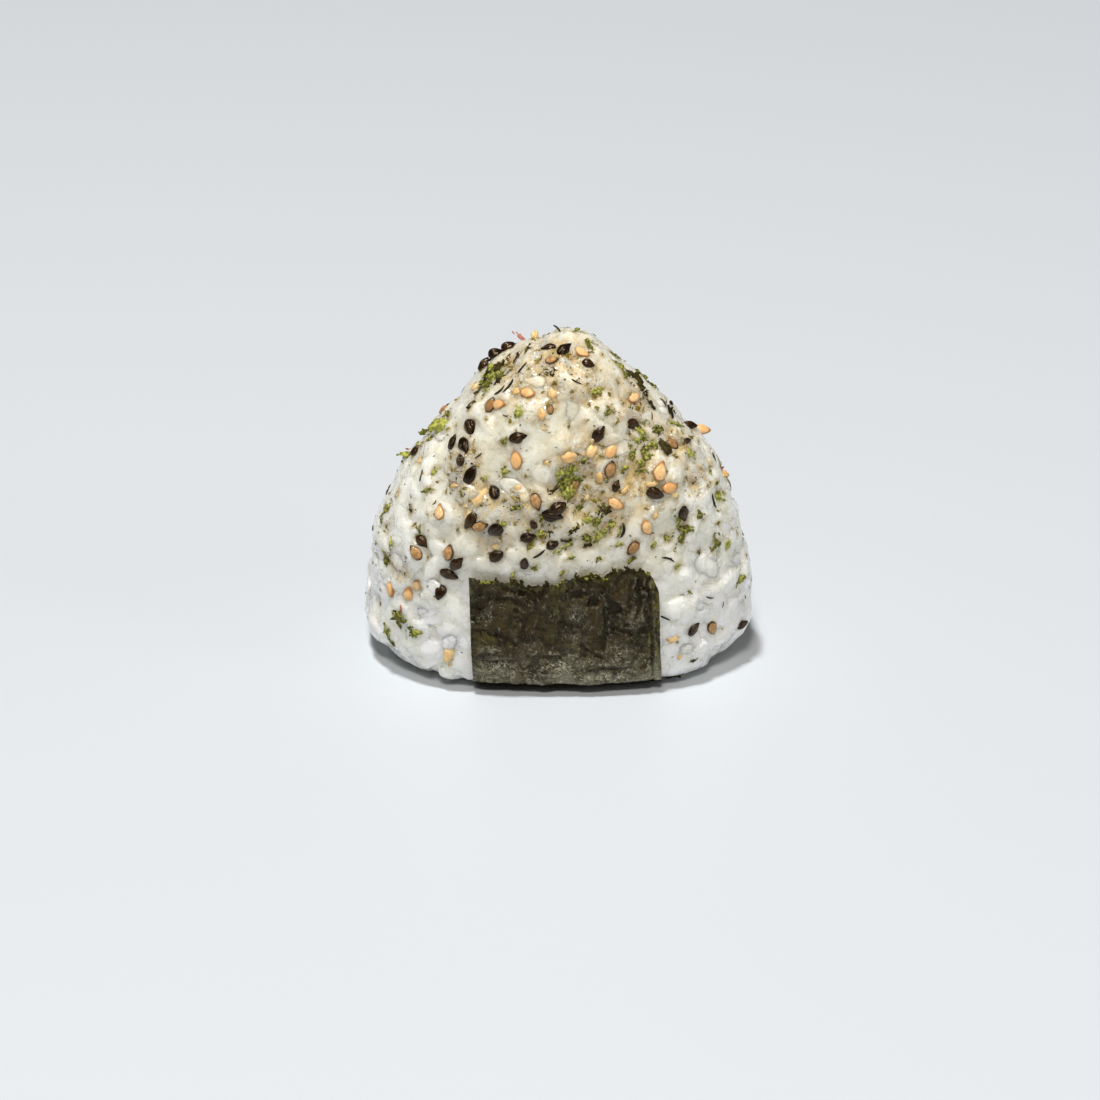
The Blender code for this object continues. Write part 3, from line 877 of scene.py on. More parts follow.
@dataclass
class RiceBall:
    """The ball: grains pressed into a smaller core until they fuse, and whole grains that lie on it."""

    node: bpy.types.Object
    strip_tree: BVHTree
    shapes: TemplateMaker
    core_inset: tuple[float, float] = (0.18 * MM, 0.60 * MM)  # where the rice is pressed hardest, and elsewhere
    pressed_spacing: float = 3.3 * MM
    pressed_depth: float = 1.25 * MM
    depth_spread: float = 0.42 * MM
    grain_scale: tuple[float, float] = (0.85, 1.3)
    voxel: float = 0.37 * MM
    most_triangles: int = 192000
    proud: tuple[float, float] = (0.0 * MM, 0.48 * MM)
    proud_size: float = 7.5 * MM
    strip_reach: tuple[float, float] = (0.75 * MM, 3.0 * MM)
    under_strip: float = -0.35 * MM
    floor_gap: float = 0.1 * MM
    grit: float = 0.07 * MM
    grit_size: float = 1.3 * MM
    loose_spacing: float = 5.8 * MM
    loose_count: int = 84
    soak_and_shade_reach: float = 1.1 * MM
    seed: int = 21
    mass: bpy.types.Object = field(init=False)
    grains: bpy.types.Object = field(init=False)

    def __post_init__(self) -> None:
        """Measures the frame's node and starts the random draws."""
        self.draw = random.Random(self.seed)
        self.low, self.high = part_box(self.node.name)
        self.shell = merged_copy(self.node, "rice_shell")
        self.shell_tree = tree_of(self.shell)
        self.templates = [self.shapes.grain(bend * MM, blunt, 0.22) for bend, blunt in
                          ((0.0, 0.0), (0.6, 0.08), (-0.5, 0.05), (1.0, 0.1), (-0.9, 0.0), (0.2, 0.15))]

    def scattered(self, count: int, spacing: float) -> list[Vector]:
        """Random places on the shell that keep a distance from each other."""
        mesh = self.shell.data
        mesh.calc_loop_triangles()
        corners = [[mesh.vertices[i].co for i in t.vertices] for t in mesh.loop_triangles]
        areas = [t.area for t in mesh.loop_triangles]
        taken: dict[tuple[int, int, int], list[Vector]] = {}
        places = []
        for a, b, c in self.draw.choices(corners, weights=areas, k=count):
            u, v = self.draw.random(), self.draw.random()
            if u + v > 1.0:
                u, v = 1.0 - u, 1.0 - v
            place = a + (b - a) * u + (c - a) * v
            cell = tuple(int(math.floor(value / spacing)) for value in place)
            near = [p for i in (-1, 0, 1) for j in (-1, 0, 1) for k in (-1, 0, 1)
                    for p in taken.get((cell[0] + i, cell[1] + j, cell[2] + k), ())]
            if all((p - place).length >= spacing for p in near):
                taken.setdefault(cell, []).append(place)
                places.append(place)
        return places

    def smooth_normal(self, place: Vector, reach: float) -> Vector:
        """The shell's outward direction at a place, averaged over a small neighbourhood."""
        total = Vector()
        for _, normal, _, _ in self.shell_tree.find_nearest_range(place, reach):
            total += normal
        return total.normalized()

    def laid(self, place: Vector, depth: float, tilt: float, scale: tuple[float, float],
             flat: float = 1.0) -> Placement:
        """One grain on the shell, its middle this deep, at a random heading, tilt and size.

        Args:
            place: A place on the shell.
            depth: How deep the grain's middle lies, in metres.
            tilt: Usual tilt, in radians.
            scale: Smallest and largest size, as a share of the template's.
            flat: Share of the grain's thickness to keep.

        Returns:
            The grain's placement.
        """
        normal = self.smooth_normal(place, 2.5 * MM)
        heading = Vector([self.draw.gauss(0.0, 1.0) for _ in range(3)])
        heading -= heading.dot(normal) * normal
        heading.normalize()
        leaning = (normal + heading * math.tan(self.draw.gauss(0.0, tilt))).normalized()
        overall = self.draw.uniform(*scale)
        size = Vector([overall * self.draw.uniform(0.9, 1.1) for _ in range(3)])
        size.z *= flat
        matrix = lying_matrix(place - normal * depth, leaning, heading, size)
        return Placement(matrix, self.draw.randrange(len(self.templates)), self.draw.random())

    def build_mass(self) -> bpy.types.Object:
        """Fuses the core and the pressed grains into one mass, within the frame's outline."""
        placements = []
        for place in self.scattered(9000, self.pressed_spacing):
            depth = self.pressed_depth + self.draw.gauss(0.0, self.depth_spread)
            placements.append(self.laid(place, depth, math.radians(8), self.grain_scale))
        pressed = join_copies("pressed_grains", self.templates, placements)
        tones = np.zeros(len(pressed.data.vertices), np.float32)
        pressed.data.attributes["tint"].data.foreach_get("value", tones)
        corner = np.array([p.vertices[0] for p in pressed.data.polygons])
        pressed_tree = tree_of(pressed)
        self.mass = merged_copy(self.node, "rice_mass")
        normals = np.array([v.normal for v in self.mass.data.vertices])
        places = coordinates(self.mass)
        shares = np.array([self.pressed_share(Vector(row)) for row in places])
        insets = self.core_inset[1] + shares * (self.core_inset[0] - self.core_inset[1])
        move_vertices(self.mass, places - normals * insets[:, None])
        activate(self.mass)
        pressed.select_set(True)
        bpy.ops.object.join()
        apply_modifier(self.mass, "REMESH", mode="VOXEL", voxel_size=self.voxel, adaptivity=0.0)
        apply_modifier(self.mass, "SMOOTH", factor=0.5, iterations=3)
        self.roughen(self.mass)
        self.fit_frame(self.mass)
        self.clear_attributes(self.mass)
        triangles = 2 * len(self.mass.data.polygons)
        apply_modifier(self.mass, "DECIMATE", ratio=min(1.0, self.most_triangles / triangles))
        tone = []
        for row in coordinates(self.mass):
            _, _, face, gap = pressed_tree.find_nearest(Vector(row))
            tone.append(float(tones[corner[face]]) if gap < 0.9 * MM else 0.4)
        set_point_attribute(self.mass, "tone", spread(self.mass, np.array(tone), 2))
        return self.mass

    def pressed_share(self, place: Vector) -> float:
        """How hard the rice was pressed at a place: most on the crown and the middle of the faces."""
        middle = 1.0 - smooth_step(abs(place.x), 16 * MM, 32 * MM)
        patch = 0.4 + 0.6 * smooth_step(noise.noise(place / (9 * MM)), -0.35, 0.2)
        return patch * max(0.25, smooth_step(place.z, 14 * MM, 34 * MM) * middle)

    def roughen(self, item: bpy.types.Object) -> None:
        """Adds the small uneven relief of sticky rice, sharp at its low lines."""
        places = coordinates(item)
        normals = np.array([v.normal for v in item.data.vertices])
        for index, row in enumerate(places):
            spot = Vector(row) / self.grit_size
            ridge = min(1.0, 4.0 * abs(noise.noise(spot))) - 0.7
            row += normals[index] * self.grit * (ridge + 0.5 * noise.noise(spot * 2.3))
        move_vertices(item, places)

    def clear_attributes(self, item: bpy.types.Object) -> None:
        """Drops the point attributes that came with the small shapes."""
        for name in ("tint", "along", "aside", "rim"):
            layer = item.data.attributes.get(name)
            if layer is not None:
                item.data.attributes.remove(layer)

    def fit_frame(self, item: bpy.types.Object) -> None:
        """Presses vertices that stand too far out flat against the frame's outline, and under the strip."""
        places = coordinates(item)
        for row in places:
            place = Vector(row)
            spot, normal, _, _ = self.shell_tree.find_nearest(place)
            stands = (place - spot).dot(normal)
            free = smooth_step(self.strip_tree.find_nearest(spot)[3], *self.strip_reach)
            lump = smooth_step(noise.noise(spot / self.proud_size), -0.35, 0.4)
            open_limit = self.proud[0] + (self.proud[1] - self.proud[0]) * lump * (1.0 - 0.65 * self.pressed_share(spot))
            limit = self.under_strip + (open_limit - self.under_strip) * free
            if stands > limit:
                place -= normal * (stands - limit) * (1.0 - 0.18 * free)
            place.z = min(self.high.z, max(place.z, self.low.z if free < 1.0 else self.floor_gap))
            row[:] = place
        np.clip(places[:, 0], self.low.x, self.high.x, out=places[:, 0])
        np.clip(places[:, 1], self.low.y, self.high.y, out=places[:, 1])
        move_vertices(item, places)

    def build_grains(self) -> bpy.types.Object:
        """Lays whole grains on the mass, clear of the strip."""
        placements = []
        for place in self.scattered(self.loose_count * 12, self.loose_spacing):
            to_strip = self.strip_tree.find_nearest(place)[3]
            share = 1.0 - 0.75 * smooth_step(place.z, 15 * MM, 40 * MM)
            if to_strip < 4.5 * MM or place.z < 3.0 * MM or self.draw.random() > share:
                continue
            depth = 0.80 * MM + self.draw.uniform(-0.15, 0.25) * MM
            placements.append(self.laid(place, depth, math.radians(5), (0.85, 1.15), 0.72))
            if len(placements) == self.loose_count:
                break
        self.grains = join_copies("rice_grains", self.templates, placements)
        tint = np.zeros(len(self.grains.data.vertices), np.float32)
        self.grains.data.attributes["tint"].data.foreach_get("value", tint)
        self.clear_attributes(self.grains)
        set_point_attribute(self.grains, "tone", tint)
        apply_modifier(self.grains, "SUBSURF", levels=1, render_levels=1)
        self.roughen(self.grains)
        self.fit_frame(self.grains)
        return self.grains

    def soak_and_shade_share(self, places: np.ndarray, pieces: Sequence[bpy.types.Object]) -> np.ndarray:
        """How brown the rice is round the seeds and leaves on it, from soaked juice and painted contact shade, 0 to 1
        per place.
        """
        points = np.concatenate([coordinates(piece) for piece in pieces])
        tree = KDTree(len(points))
        for index, row in enumerate(points):
            tree.insert(row, index)
        tree.balance()
        shares = np.zeros(len(places))
        for index, row in enumerate(places):
            height = 0.25 + 0.75 * smooth_step(row[2], 16 * MM, 34 * MM)
            shares[index] = height * (1.0 - smooth_step(tree.find(row)[2], 0.15 * MM, self.soak_and_shade_reach))
        return shares

    def dress(self, stains: Sequence[tuple[Vector, float]], pieces: Sequence[bpy.types.Object]) -> None:
        """Marks where seasoning has melted in and where shade is painted, and gives the rice its finish.

        Args:
            stains: The middle and the radius of each stained place.
            pieces: The seeds and leaves whose juice has soaked into the rice, and round which contact shade is painted.
        """
        for item, finish in ((self.mass, RiceFinish("pressed_rice", 3.0 * MM)),
                             (self.grains, RiceFinish("whole_grains", 1.6 * MM))):
            places = coordinates(item)
            season = np.zeros(len(places))
            for middle, radius in stains:
                gap = np.linalg.norm(places - np.array(middle), axis=1)
                season = np.maximum(season, np.clip(1.35 - gap / radius, 0.0, 1.0))
            set_point_attribute(item, "season", season)
            # The brown round the pieces: partly soaked juice, partly painted contact shade.
            set_point_attribute(item, "soak_and_shade", 0.6 * self.soak_and_shade_share(places, pieces))
            stands = np.full(len(places), 0.8)
            if item is self.mass:
                stands = np.clip(0.5 + relief(item, 24) / (0.9 * MM), 0.0, 1.0)
            # relief: how far the rice stands out; the finish paints shade where it is lowest and lets stains settle
            # there.
            set_point_attribute(item, "relief", stands)
            item.data.shade_smooth()
            item.data.materials.clear()
            item.data.materials.append(finish.make())
            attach(item, BODY)
        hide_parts(self.node.name)
        bpy.data.objects.remove(self.shell)


# ---------------------------------------------------------------------------------------------------------
# The nori


@dataclass(frozen=True)
class Dent:
    """A place where the strip sinks between two grains: its place on the front, radius and depth, in millimetres."""

    x: float
    z: float
    radius: float
    depth: float


# The deeper dents also carry more painted shade.
DENTS = (
    Dent(3.7, 22.8, 1.6, 0.50), Dent(6.6, 21.2, 1.6, 0.60), Dent(10.4, 19.6, 2.1, 0.65), Dent(16.4, 14.2, 1.4, 0.45),
    Dent(-8.2, 19.2, 1.0, 0.35), Dent(-6.8, 23.0, 1.0, 0.35), Dent(13.2, 15.8, 0.9, 0.30), Dent(1.0, 16.6, 1.1, 0.20),
)


class Tone(Enum):
    """How a patch of the strip differs from the rest."""

    OLIVE = "olive"
    # Painted sheen: a pale silver where light glances off the strip.
    SILVER = "painted_sheen"


@dataclass(frozen=True)
class Patch:
    """An oval place on the strip's front, in its own olive tone or in painted sheen: middle and radii in millimetres,
    strength 0 to 1.
    """

    tone: Tone
    x: float
    z: float
    wide: float
    tall: float
    strength: float = 1.0


# The olive patches are the strip's own tone; the sheen patches are painted sheen.
PATCHES = (
    Patch(Tone.OLIVE, -14.0, 25.0, 1.6, 1.3), Patch(Tone.OLIVE, -9.8, 24.0, 1.5, 0.7, 0.7),
    Patch(Tone.OLIVE, 0.2, 24.8, 2.0, 1.8, 0.9), Patch(Tone.OLIVE, -0.4, 19.6, 1.4, 2.6, 0.4),
    Patch(Tone.OLIVE, 8.4, 26.0, 1.8, 0.9, 0.8), Patch(Tone.OLIVE, -1.0, 12.2, 1.1, 1.8, 0.4),
    Patch(Tone.OLIVE, -14.0, 12.8, 1.8, 1.6, 0.45), Patch(Tone.OLIVE, 18.4, 4.6, 1.0, 2.2, 1.0),
    Patch(Tone.OLIVE, -6.0, 23.6, 2.5, 0.7, 0.4), Patch(Tone.OLIVE, 17.6, 12.5, 1.0, 2.2, 0.7),
    Patch(Tone.SILVER, -11.0, 6.6, 3.2, 2.0, 0.9), Patch(Tone.SILVER, 0.8, 7.4, 4.5, 2.4, 1.0),
    Patch(Tone.SILVER, 9.3, 4.2, 4.0, 1.8, 1.0), Patch(Tone.SILVER, 3.6, 18.4, 1.8, 1.8, 0.5),
    Patch(Tone.SILVER, -13.5, 17.6, 1.0, 1.6, 0.5), Patch(Tone.SILVER, 12.0, 9.5, 2.5, 2.5, 0.5),
    Patch(Tone.SILVER, -5.0, 11.0, 2.0, 1.6, 0.35), Patch(Tone.SILVER, 14.8, 17.0, 1.2, 3.0, 0.45),
    Patch(Tone.SILVER, 3.0, 13.5, 1.8, 1.8, 0.3), Patch(Tone.SILVER, -13.0, 10.5, 2.4, 0.8, 0.5),
)


@dataclass(frozen=True)
class Crease:
    """A sharp fold on the front of the strip, from one place to another, with its depth, all in millimetres."""

    x0: float
    z0: float
    x1: float
    z1: float
    depth: float


# The folds also carry painted shade, the deeper the darker.
CREASES = (
    Crease(9.4, 19.5, 8.4, 9.5, 0.40), Crease(15.6, 26.0, 15.0, 15.5, 0.45), Crease(14.0, 25.0, 13.6, 18.0, 0.30),
    Crease(-17.0, 14.3, -10.4, 13.9, 0.35), Crease(-10.4, 13.9, -7.6, 11.6, 0.25), Crease(-13.0, 21.5, -6.5, 20.6, 0.35),
    Crease(-5.6, 19.5, -7.4, 12.5, 0.25), Crease(1.6, 20.5, -0.4, 11.0, 0.22), Crease(4.0, 12.0, 8.6, 8.2, 0.30),
    Crease(-4.0, 8.6, 2.5, 9.4, 0.28), Crease(5.6, 5.6, 12.5, 6.4, 0.32), Crease(16.6, 19.0, 17.4, 13.0, 0.35),
    Crease(-15.0, 7.6, -9.0, 8.4, 0.25), Crease(10.5, 15.5, 15.5, 13.4, 0.30), Crease(-12.4, 24.5, -4.5, 22.4, 0.30),
)


@dataclass
class NoriStrip:
    """The strip: the frame's outer skin, cut finer, crinkled, torn along its ends and given a thickness."""

    node: bpy.types.Object
    rice_tree: BVHTree
    outer_distance: float = 0.6 * MM
    thickness: float = 0.22 * MM
    deepest: float = 0.70 * MM
    swell: float = 0.22 * MM
    swell_size: float = 5.5 * MM
    fold: float = 0.30 * MM
    fold_size: float = 3.2 * MM
    fine: float = 0.10 * MM
    tear: float = 0.60 * MM
    band: float = 1.6 * MM
    foot_fold: float = 2.5 * MM
    most_triangles: int = 84000
    sheet: bpy.types.Object = field(init=False)

    def build(self) -> bpy.types.Object:
        """Makes the sheet from the frame's node."""
        self.low, self.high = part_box(self.node.name)
        self.sheet = merged_copy(self.node, "nori_sheet")
        self.keep_outer_skin()
        apply_modifier(self.sheet, "SUBSURF", levels=3, render_levels=3, boundary_smooth="PRESERVE_CORNERS")
        marked = self.crumple()
        marks = KDTree(len(self.sheet.data.vertices))
        for index, row in enumerate(coordinates(self.sheet)):
            marks.insert(row, index)
        marks.balance()
        triangles = 2 * len(self.sheet.data.polygons)
        apply_modifier(self.sheet, "DECIMATE", ratio=min(1.0, self.most_triangles / triangles))
        apply_modifier(self.sheet, "SOLIDIFY", thickness=self.thickness, offset=-1.0)
        nearest = [marks.find(row)[1] for row in coordinates(self.sheet)]
        for name, values in marked.items():
            set_point_attribute(self.sheet, name, values[nearest])
        self.sheet.data.shade_smooth()
        return self.sheet

    def keep_outer_skin(self) -> None:
        """Deletes the inner wall and the rim, whose faces lie nearer the rice than the outer wall."""
        bpy.ops.object.mode_set(mode="EDIT")
        bpy.ops.mesh.select_mode(type="FACE")
        shape = bmesh.from_edit_mesh(self.sheet.data)
        for face in shape.faces:
            _, _, _, gap = self.rice_tree.find_nearest(face.calc_center_median())
            face.select_set(gap < self.outer_distance)
        bmesh.update_edit_mesh(self.sheet.data)
        bpy.ops.mesh.delete(type="FACE")
        bpy.ops.mesh.select_all(action="SELECT")
        bpy.ops.mesh.tris_convert_to_quads(face_threshold=math.radians(60), shape_threshold=math.radians(60))
        bpy.ops.object.mode_set(mode="OBJECT")

    def crumple(self) -> dict[str, np.ndarray]:
        """Crinkles the skin inwards and tears its two ends into an uneven line.

        Returns:
            The marks that the finish reads, by name: painted shade in dents and folds, how olive it is, its painted
                sheen,
            and how far it stands out of its surroundings.
        """
        below = self.below_end()
        places = coordinates(self.sheet)
        normals = np.array([v.normal for v in self.sheet.data.vertices])
        marks = {name: np.zeros(len(places)) for name in ("dent", "olive", "painted_sheen")}
        sides = self.side_edge()
        for index, row in enumerate(places):
            place = Vector(row)
            dark, sunk = self.dent_at(place)
            fold = self.folded(place)
            # Painted shade: dents and folds are marked dark, the deeper the darker.
            marks["dent"][index] = max(dark, min(0.9, 2.6 * fold / MM))
            to_side = sides.find(place)[2]
            marks["olive"][index] = max(self.rim_at(below[index], to_side), self.toned(place, Tone.OLIVE))
            # How much painted sheen the patches lay on the skin here.
            marks["painted_sheen"][index] = self.toned(place, Tone.SILVER)
            depth = self.crease_depth(place, to_side) + fold + sunk
            depth = min(self.deepest, max(0.0, depth))
            edge = smooth_step(min(below[index], to_side, place.x - self.low.x), 0.0, 1.2 * MM)
            place -= Vector(normals[index]) * depth * (0.35 + 0.65 * edge)
            near_end = 1.0 - smooth_step(below[index], 0.0, 2.0 * MM)
            ragged = noise.noise(place / (0.8 * MM)) + 1.3 * noise.noise(place / (2.1 * MM))
            place.z = max(self.low.z, place.z + self.tear * near_end * ragged)
            row[:] = place
        move_vertices(self.sheet, places)
        # ridge: how far the skin stands out; the finish paints highlight on the crests and shade in the valleys from
        # it.
        marks["ridge"] = np.clip(0.5 + relief(self.sheet, 14) / (0.30 * MM), 0.0, 1.0)
        return marks

    def side_edge(self) -> KDTree:
        """A tree of the places along the right edge of the front and the back."""
        shape = bmesh.new()
        shape.from_mesh(self.sheet.data)
        edge = [v.co.copy() for v in shape.verts if v.is_boundary and v.co.x > 0.86 * self.high.x]
        shape.free()
        tree = KDTree(len(edge))
        for index, place in enumerate(edge):
            tree.insert(place, index)
        tree.balance()
        return tree

    def toned(self, place: Vector, tone: Tone) -> float:
        """How strongly a place on the front takes a tone or painted sheen from the patches, from 0 to 1."""
        if place.y > 0.0:
            return 0.0
        most = 0.0
        push = 0.6 * noise.noise(place / (1.3 * MM))
        for patch in PATCHES:
            if patch.tone is tone:
                across = (place.x / MM - patch.x) / patch.wide
                up = (place.z / MM - patch.z) / patch.tall
                most = max(most, patch.strength * (1.0 - smooth_step(math.hypot(across, up) + push, 0.3, 1.4)))
        return most

    def folded(self, place: Vector) -> float:
        """How far a place on the front sinks into the sharp folds."""
        if place.y > 0.0:
            return 0.0
        spot = Vector((place.x, place.z, 0.0)) / MM
        wander = noise.noise_vector(place / (2.2 * MM))
        spot += 0.7 * Vector((wander.x, wander.y, 0.0))
        sunk = 0.0
        for crease in CREASES:
            start = Vector((crease.x0, crease.z0, 0.0))
            line = Vector((crease.x1, crease.z1, 0.0)) - start
            share = min(1.0, max(0.0, (spot - start).dot(line) / line.length_squared))
            gap = (spot - start - share * line).length
            fade = min(1.0, 6.0 * share * (1.0 - share) + 0.2)
            sunk = max(sunk, fade * crease.depth * MM * max(0.0, 1.0 - gap / 0.75))
        return sunk

    def dent_at(self, place: Vector) -> tuple[float, float]:
        """How much painted shade a dent lays at a place, from 0 to 1, and how far it sinks, in metres."""
        if place.y > 0.0:
            return 0.0, 0.0
        share, sunk = 0.0, 0.0
        for dent in DENTS:
            gap = Vector((place.x - dent.x * MM, 0.6 * (place.z - dent.z * MM) * 2.0)).length / (dent.radius * MM)
            gap += 0.5 * noise.noise(place / (0.9 * MM))
            near = 1.0 - smooth_step(gap, 0.25, 1.05)
            share = max(share, near * min(1.0, dent.depth / 0.45))
            sunk = max(sunk, near * dent.depth * MM)
        return share, sunk

    def crease_depth(self, place: Vector, to_side: float) -> float:
        """How far the skin sinks at a place: swells, sharp folds, a folded side band and an undercut foot."""
        swell = self.swell * (0.5 + noise.noise(place / self.swell_size))
        bent = place + 1.6 * MM * noise.noise_vector(place / (3.0 * MM))
        level = Vector((bent.x * 0.5, bent.y, bent.z * 1.5)) / self.fold_size
        upright = Vector((bent.x * 1.5, bent.y, bent.z * 0.6)) / self.fold_size
        low = 0.25 + 0.75 * (1.0 - smooth_step(place.z, 4.0 * MM, 12.0 * MM))
        folds = self.fold * low * min(1.0, 3.0 * abs(noise.noise(level)))
        folds += 0.5 * self.fold * min(1.0, 3.0 * abs(noise.noise(upright)))
        fine = self.fine * noise.noise(place / (0.8 * MM))
        groove = math.exp(-((to_side - self.band) / (0.35 * MM)) ** 2) * 0.35 * MM
        band = 1.0 - smooth_step(to_side, 0.8 * self.band, 1.1 * self.band)
        wavy = self.foot_fold + 0.5 * MM * noise.noise(Vector((place.x, 0.0, 0.0)) / (3.0 * MM))
        undercut = self.deepest * (1.0 - smooth_step(place.z, wavy - 0.5 * MM, wavy))
        return max(undercut, (swell + folds) * (1.0 - 0.8 * band) + fine + groove)

    def rim_at(self, below: float, to_side: float) -> float:
        """How olive the skin is: most in the folded side band, less in a thin line along the torn ends."""
        band = 0.85 - 0.85 * smooth_step(to_side, 0.35 * self.band, 1.0 * self.band)
        end = 0.35 * (1.0 - smooth_step(below, 0.2 * MM, 1.4 * MM))
        return max(band, end)

    def below_end(self) -> np.ndarray:
        """How far each vertex is below the strip's own top edge, front or back."""
        places = coordinates(self.sheet)
        shape = bmesh.new()
        shape.from_mesh(self.sheet.data)
        rim = [v.co.copy() for v in shape.verts if v.is_boundary and v.co.z > 0.6 * self.high.z]
        shape.free()
        distance = np.full(len(places), 1.0)
        for sign in (-1, 1):
            ends = np.array([p for p in rim if p.y * sign > 0.0])
            side = places[:, 1] * sign > 0.0
            nearest = np.abs(places[side][:, None, 0] - ends[None, :, 0]).argmin(axis=1)
            distance[side] = np.maximum(0.0, ends[nearest, 2] - places[side][:, 2])
        return distance

    def end_line(self) -> list[Vector]:
        """Places along the two torn ends of the finished sheet, from left to right."""
        places = coordinates(self.sheet)
        line = []
        for sign in (-1, 1):
            side = places[places[:, 1] * sign > 0.0]
            steps = np.arange(self.low.x + 0.6 * MM, self.high.x - 0.6 * MM, 0.35 * MM)
            for x in steps:
                near = side[np.argsort(np.abs(side[:, 0] - x))[:160]]
                line.append(Vector(near[near[:, 2].argmax()]))
        return line

    def dress(self) -> None:
        """Gives the sheet its finish and its place in the frame."""
        self.sheet.data.materials.clear()
        self.sheet.data.materials.append(NoriFinish().make())
        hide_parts(self.node.name)
        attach(self.sheet, BODY)


# ---------------------------------------------------------------------------------------------------------
# The furikake


BLACK_SEEDS = (
    Spot(-0.05, 0.955, 165, 0.85), Spot(0.03, 0.95, 55), Spot(0.15, 0.91, -20, 0.8), Spot(-0.38, 0.92, 60, 0.9, 0.8),
    Spot(-0.31, 0.94, 20, 0.9, 0.8), Spot(-0.25, 0.96, 30, 0.9, 0.8), Spot(-0.44, 0.74, -60, 1.1), Spot(-0.53, 0.70, 70, 0.9),
    Spot(-0.47, 0.69, -60, 1.05), Spot(-0.49, 0.65, 105, 0.75), Spot(-0.44, 0.61, 60, 1.15), Spot(-0.20, 0.71, 10),
    Spot(0.20, 0.72, 55, 1.05), Spot(0.37, 0.75, -20), Spot(0.66, 0.745, 0, 0.9, 0.6), Spot(-0.32, 0.565, 105),
    Spot(-0.72, 0.68, 45, 0.75, 0.5), Spot(-0.44, 0.485, 230, 1.1), Spot(-0.315, 0.46, 225, 1.15), Spot(-0.685, 0.43, -45),
    Spot(-0.51, 0.37, 45), Spot(-0.55, 0.34, -10, 1.15), Spot(-0.595, 0.29, -105), Spot(-0.31, 0.39, 35),
    Spot(-0.17, 0.37, 80, 0.9), Spot(-0.03, 0.42, 20, 0.8), Spot(-0.15, 0.44, 10, 0.9), Spot(-0.125, 0.475, 120, 0.6),
    Spot(-0.03, 0.50, -10, 1.2), Spot(0.0, 0.52, 35, 1.1), Spot(0.29, 0.58, 70, 0.7), Spot(0.485, 0.56, -15, 1.1),
    Spot(0.63, 0.505, -55, 1.05), Spot(0.69, 0.19, 45), Spot(0.94, 0.20, 20, 0.8, 0.5), Spot(0.65, 0.705, 20, 0.5),
)
BROWN_SEEDS = (
    Spot(-0.03, 0.92, 0, 0.8), Spot(-0.39, 0.47, 20), Spot(-0.72, 0.40, 125), Spot(-0.55, 0.40, 65),
    Spot(0.08, 0.585, 50), Spot(-0.34, 0.80, 60, 0.95), Spot(0.26, 0.625, 80), Spot(-0.11, 0.535, -75, 1.05),
    Spot(0.375, 0.41, 230, 0.95), Spot(0.575, 0.695, -30, 0.8), Spot(-0.04, 0.785, 80, 0.6),
    Spot(0.785, 0.19, -60, 0.95),
)
TAN_SEEDS = (
    Spot(0.12, 0.94, -35), Spot(-0.21, 0.65, 100, 1.15), Spot(0.265, 0.675, 60, 1.1), Spot(0.51, 0.62, 70, 1.2),
    Spot(0.56, 0.575, 10, 1.05), Spot(0.29, 0.53, -20, 1.05), Spot(0.445, 0.465, -50, 1.05), Spot(-0.595, 0.51, 95, 0.95),
    Spot(-0.295, 0.80, 0, 0.95), Spot(0.74, 0.74, 0, 1.0, 0.8), Spot(-0.15, 0.83, -15, 0.95), Spot(0.86, 0.62, 5, 0.9, 0.6),
    Spot(-0.855, 0.30, 110), Spot(-0.76, 0.285, 80), Spot(-0.715, 0.31, 55), Spot(0.38, 0.82, 30, 0.9),
)
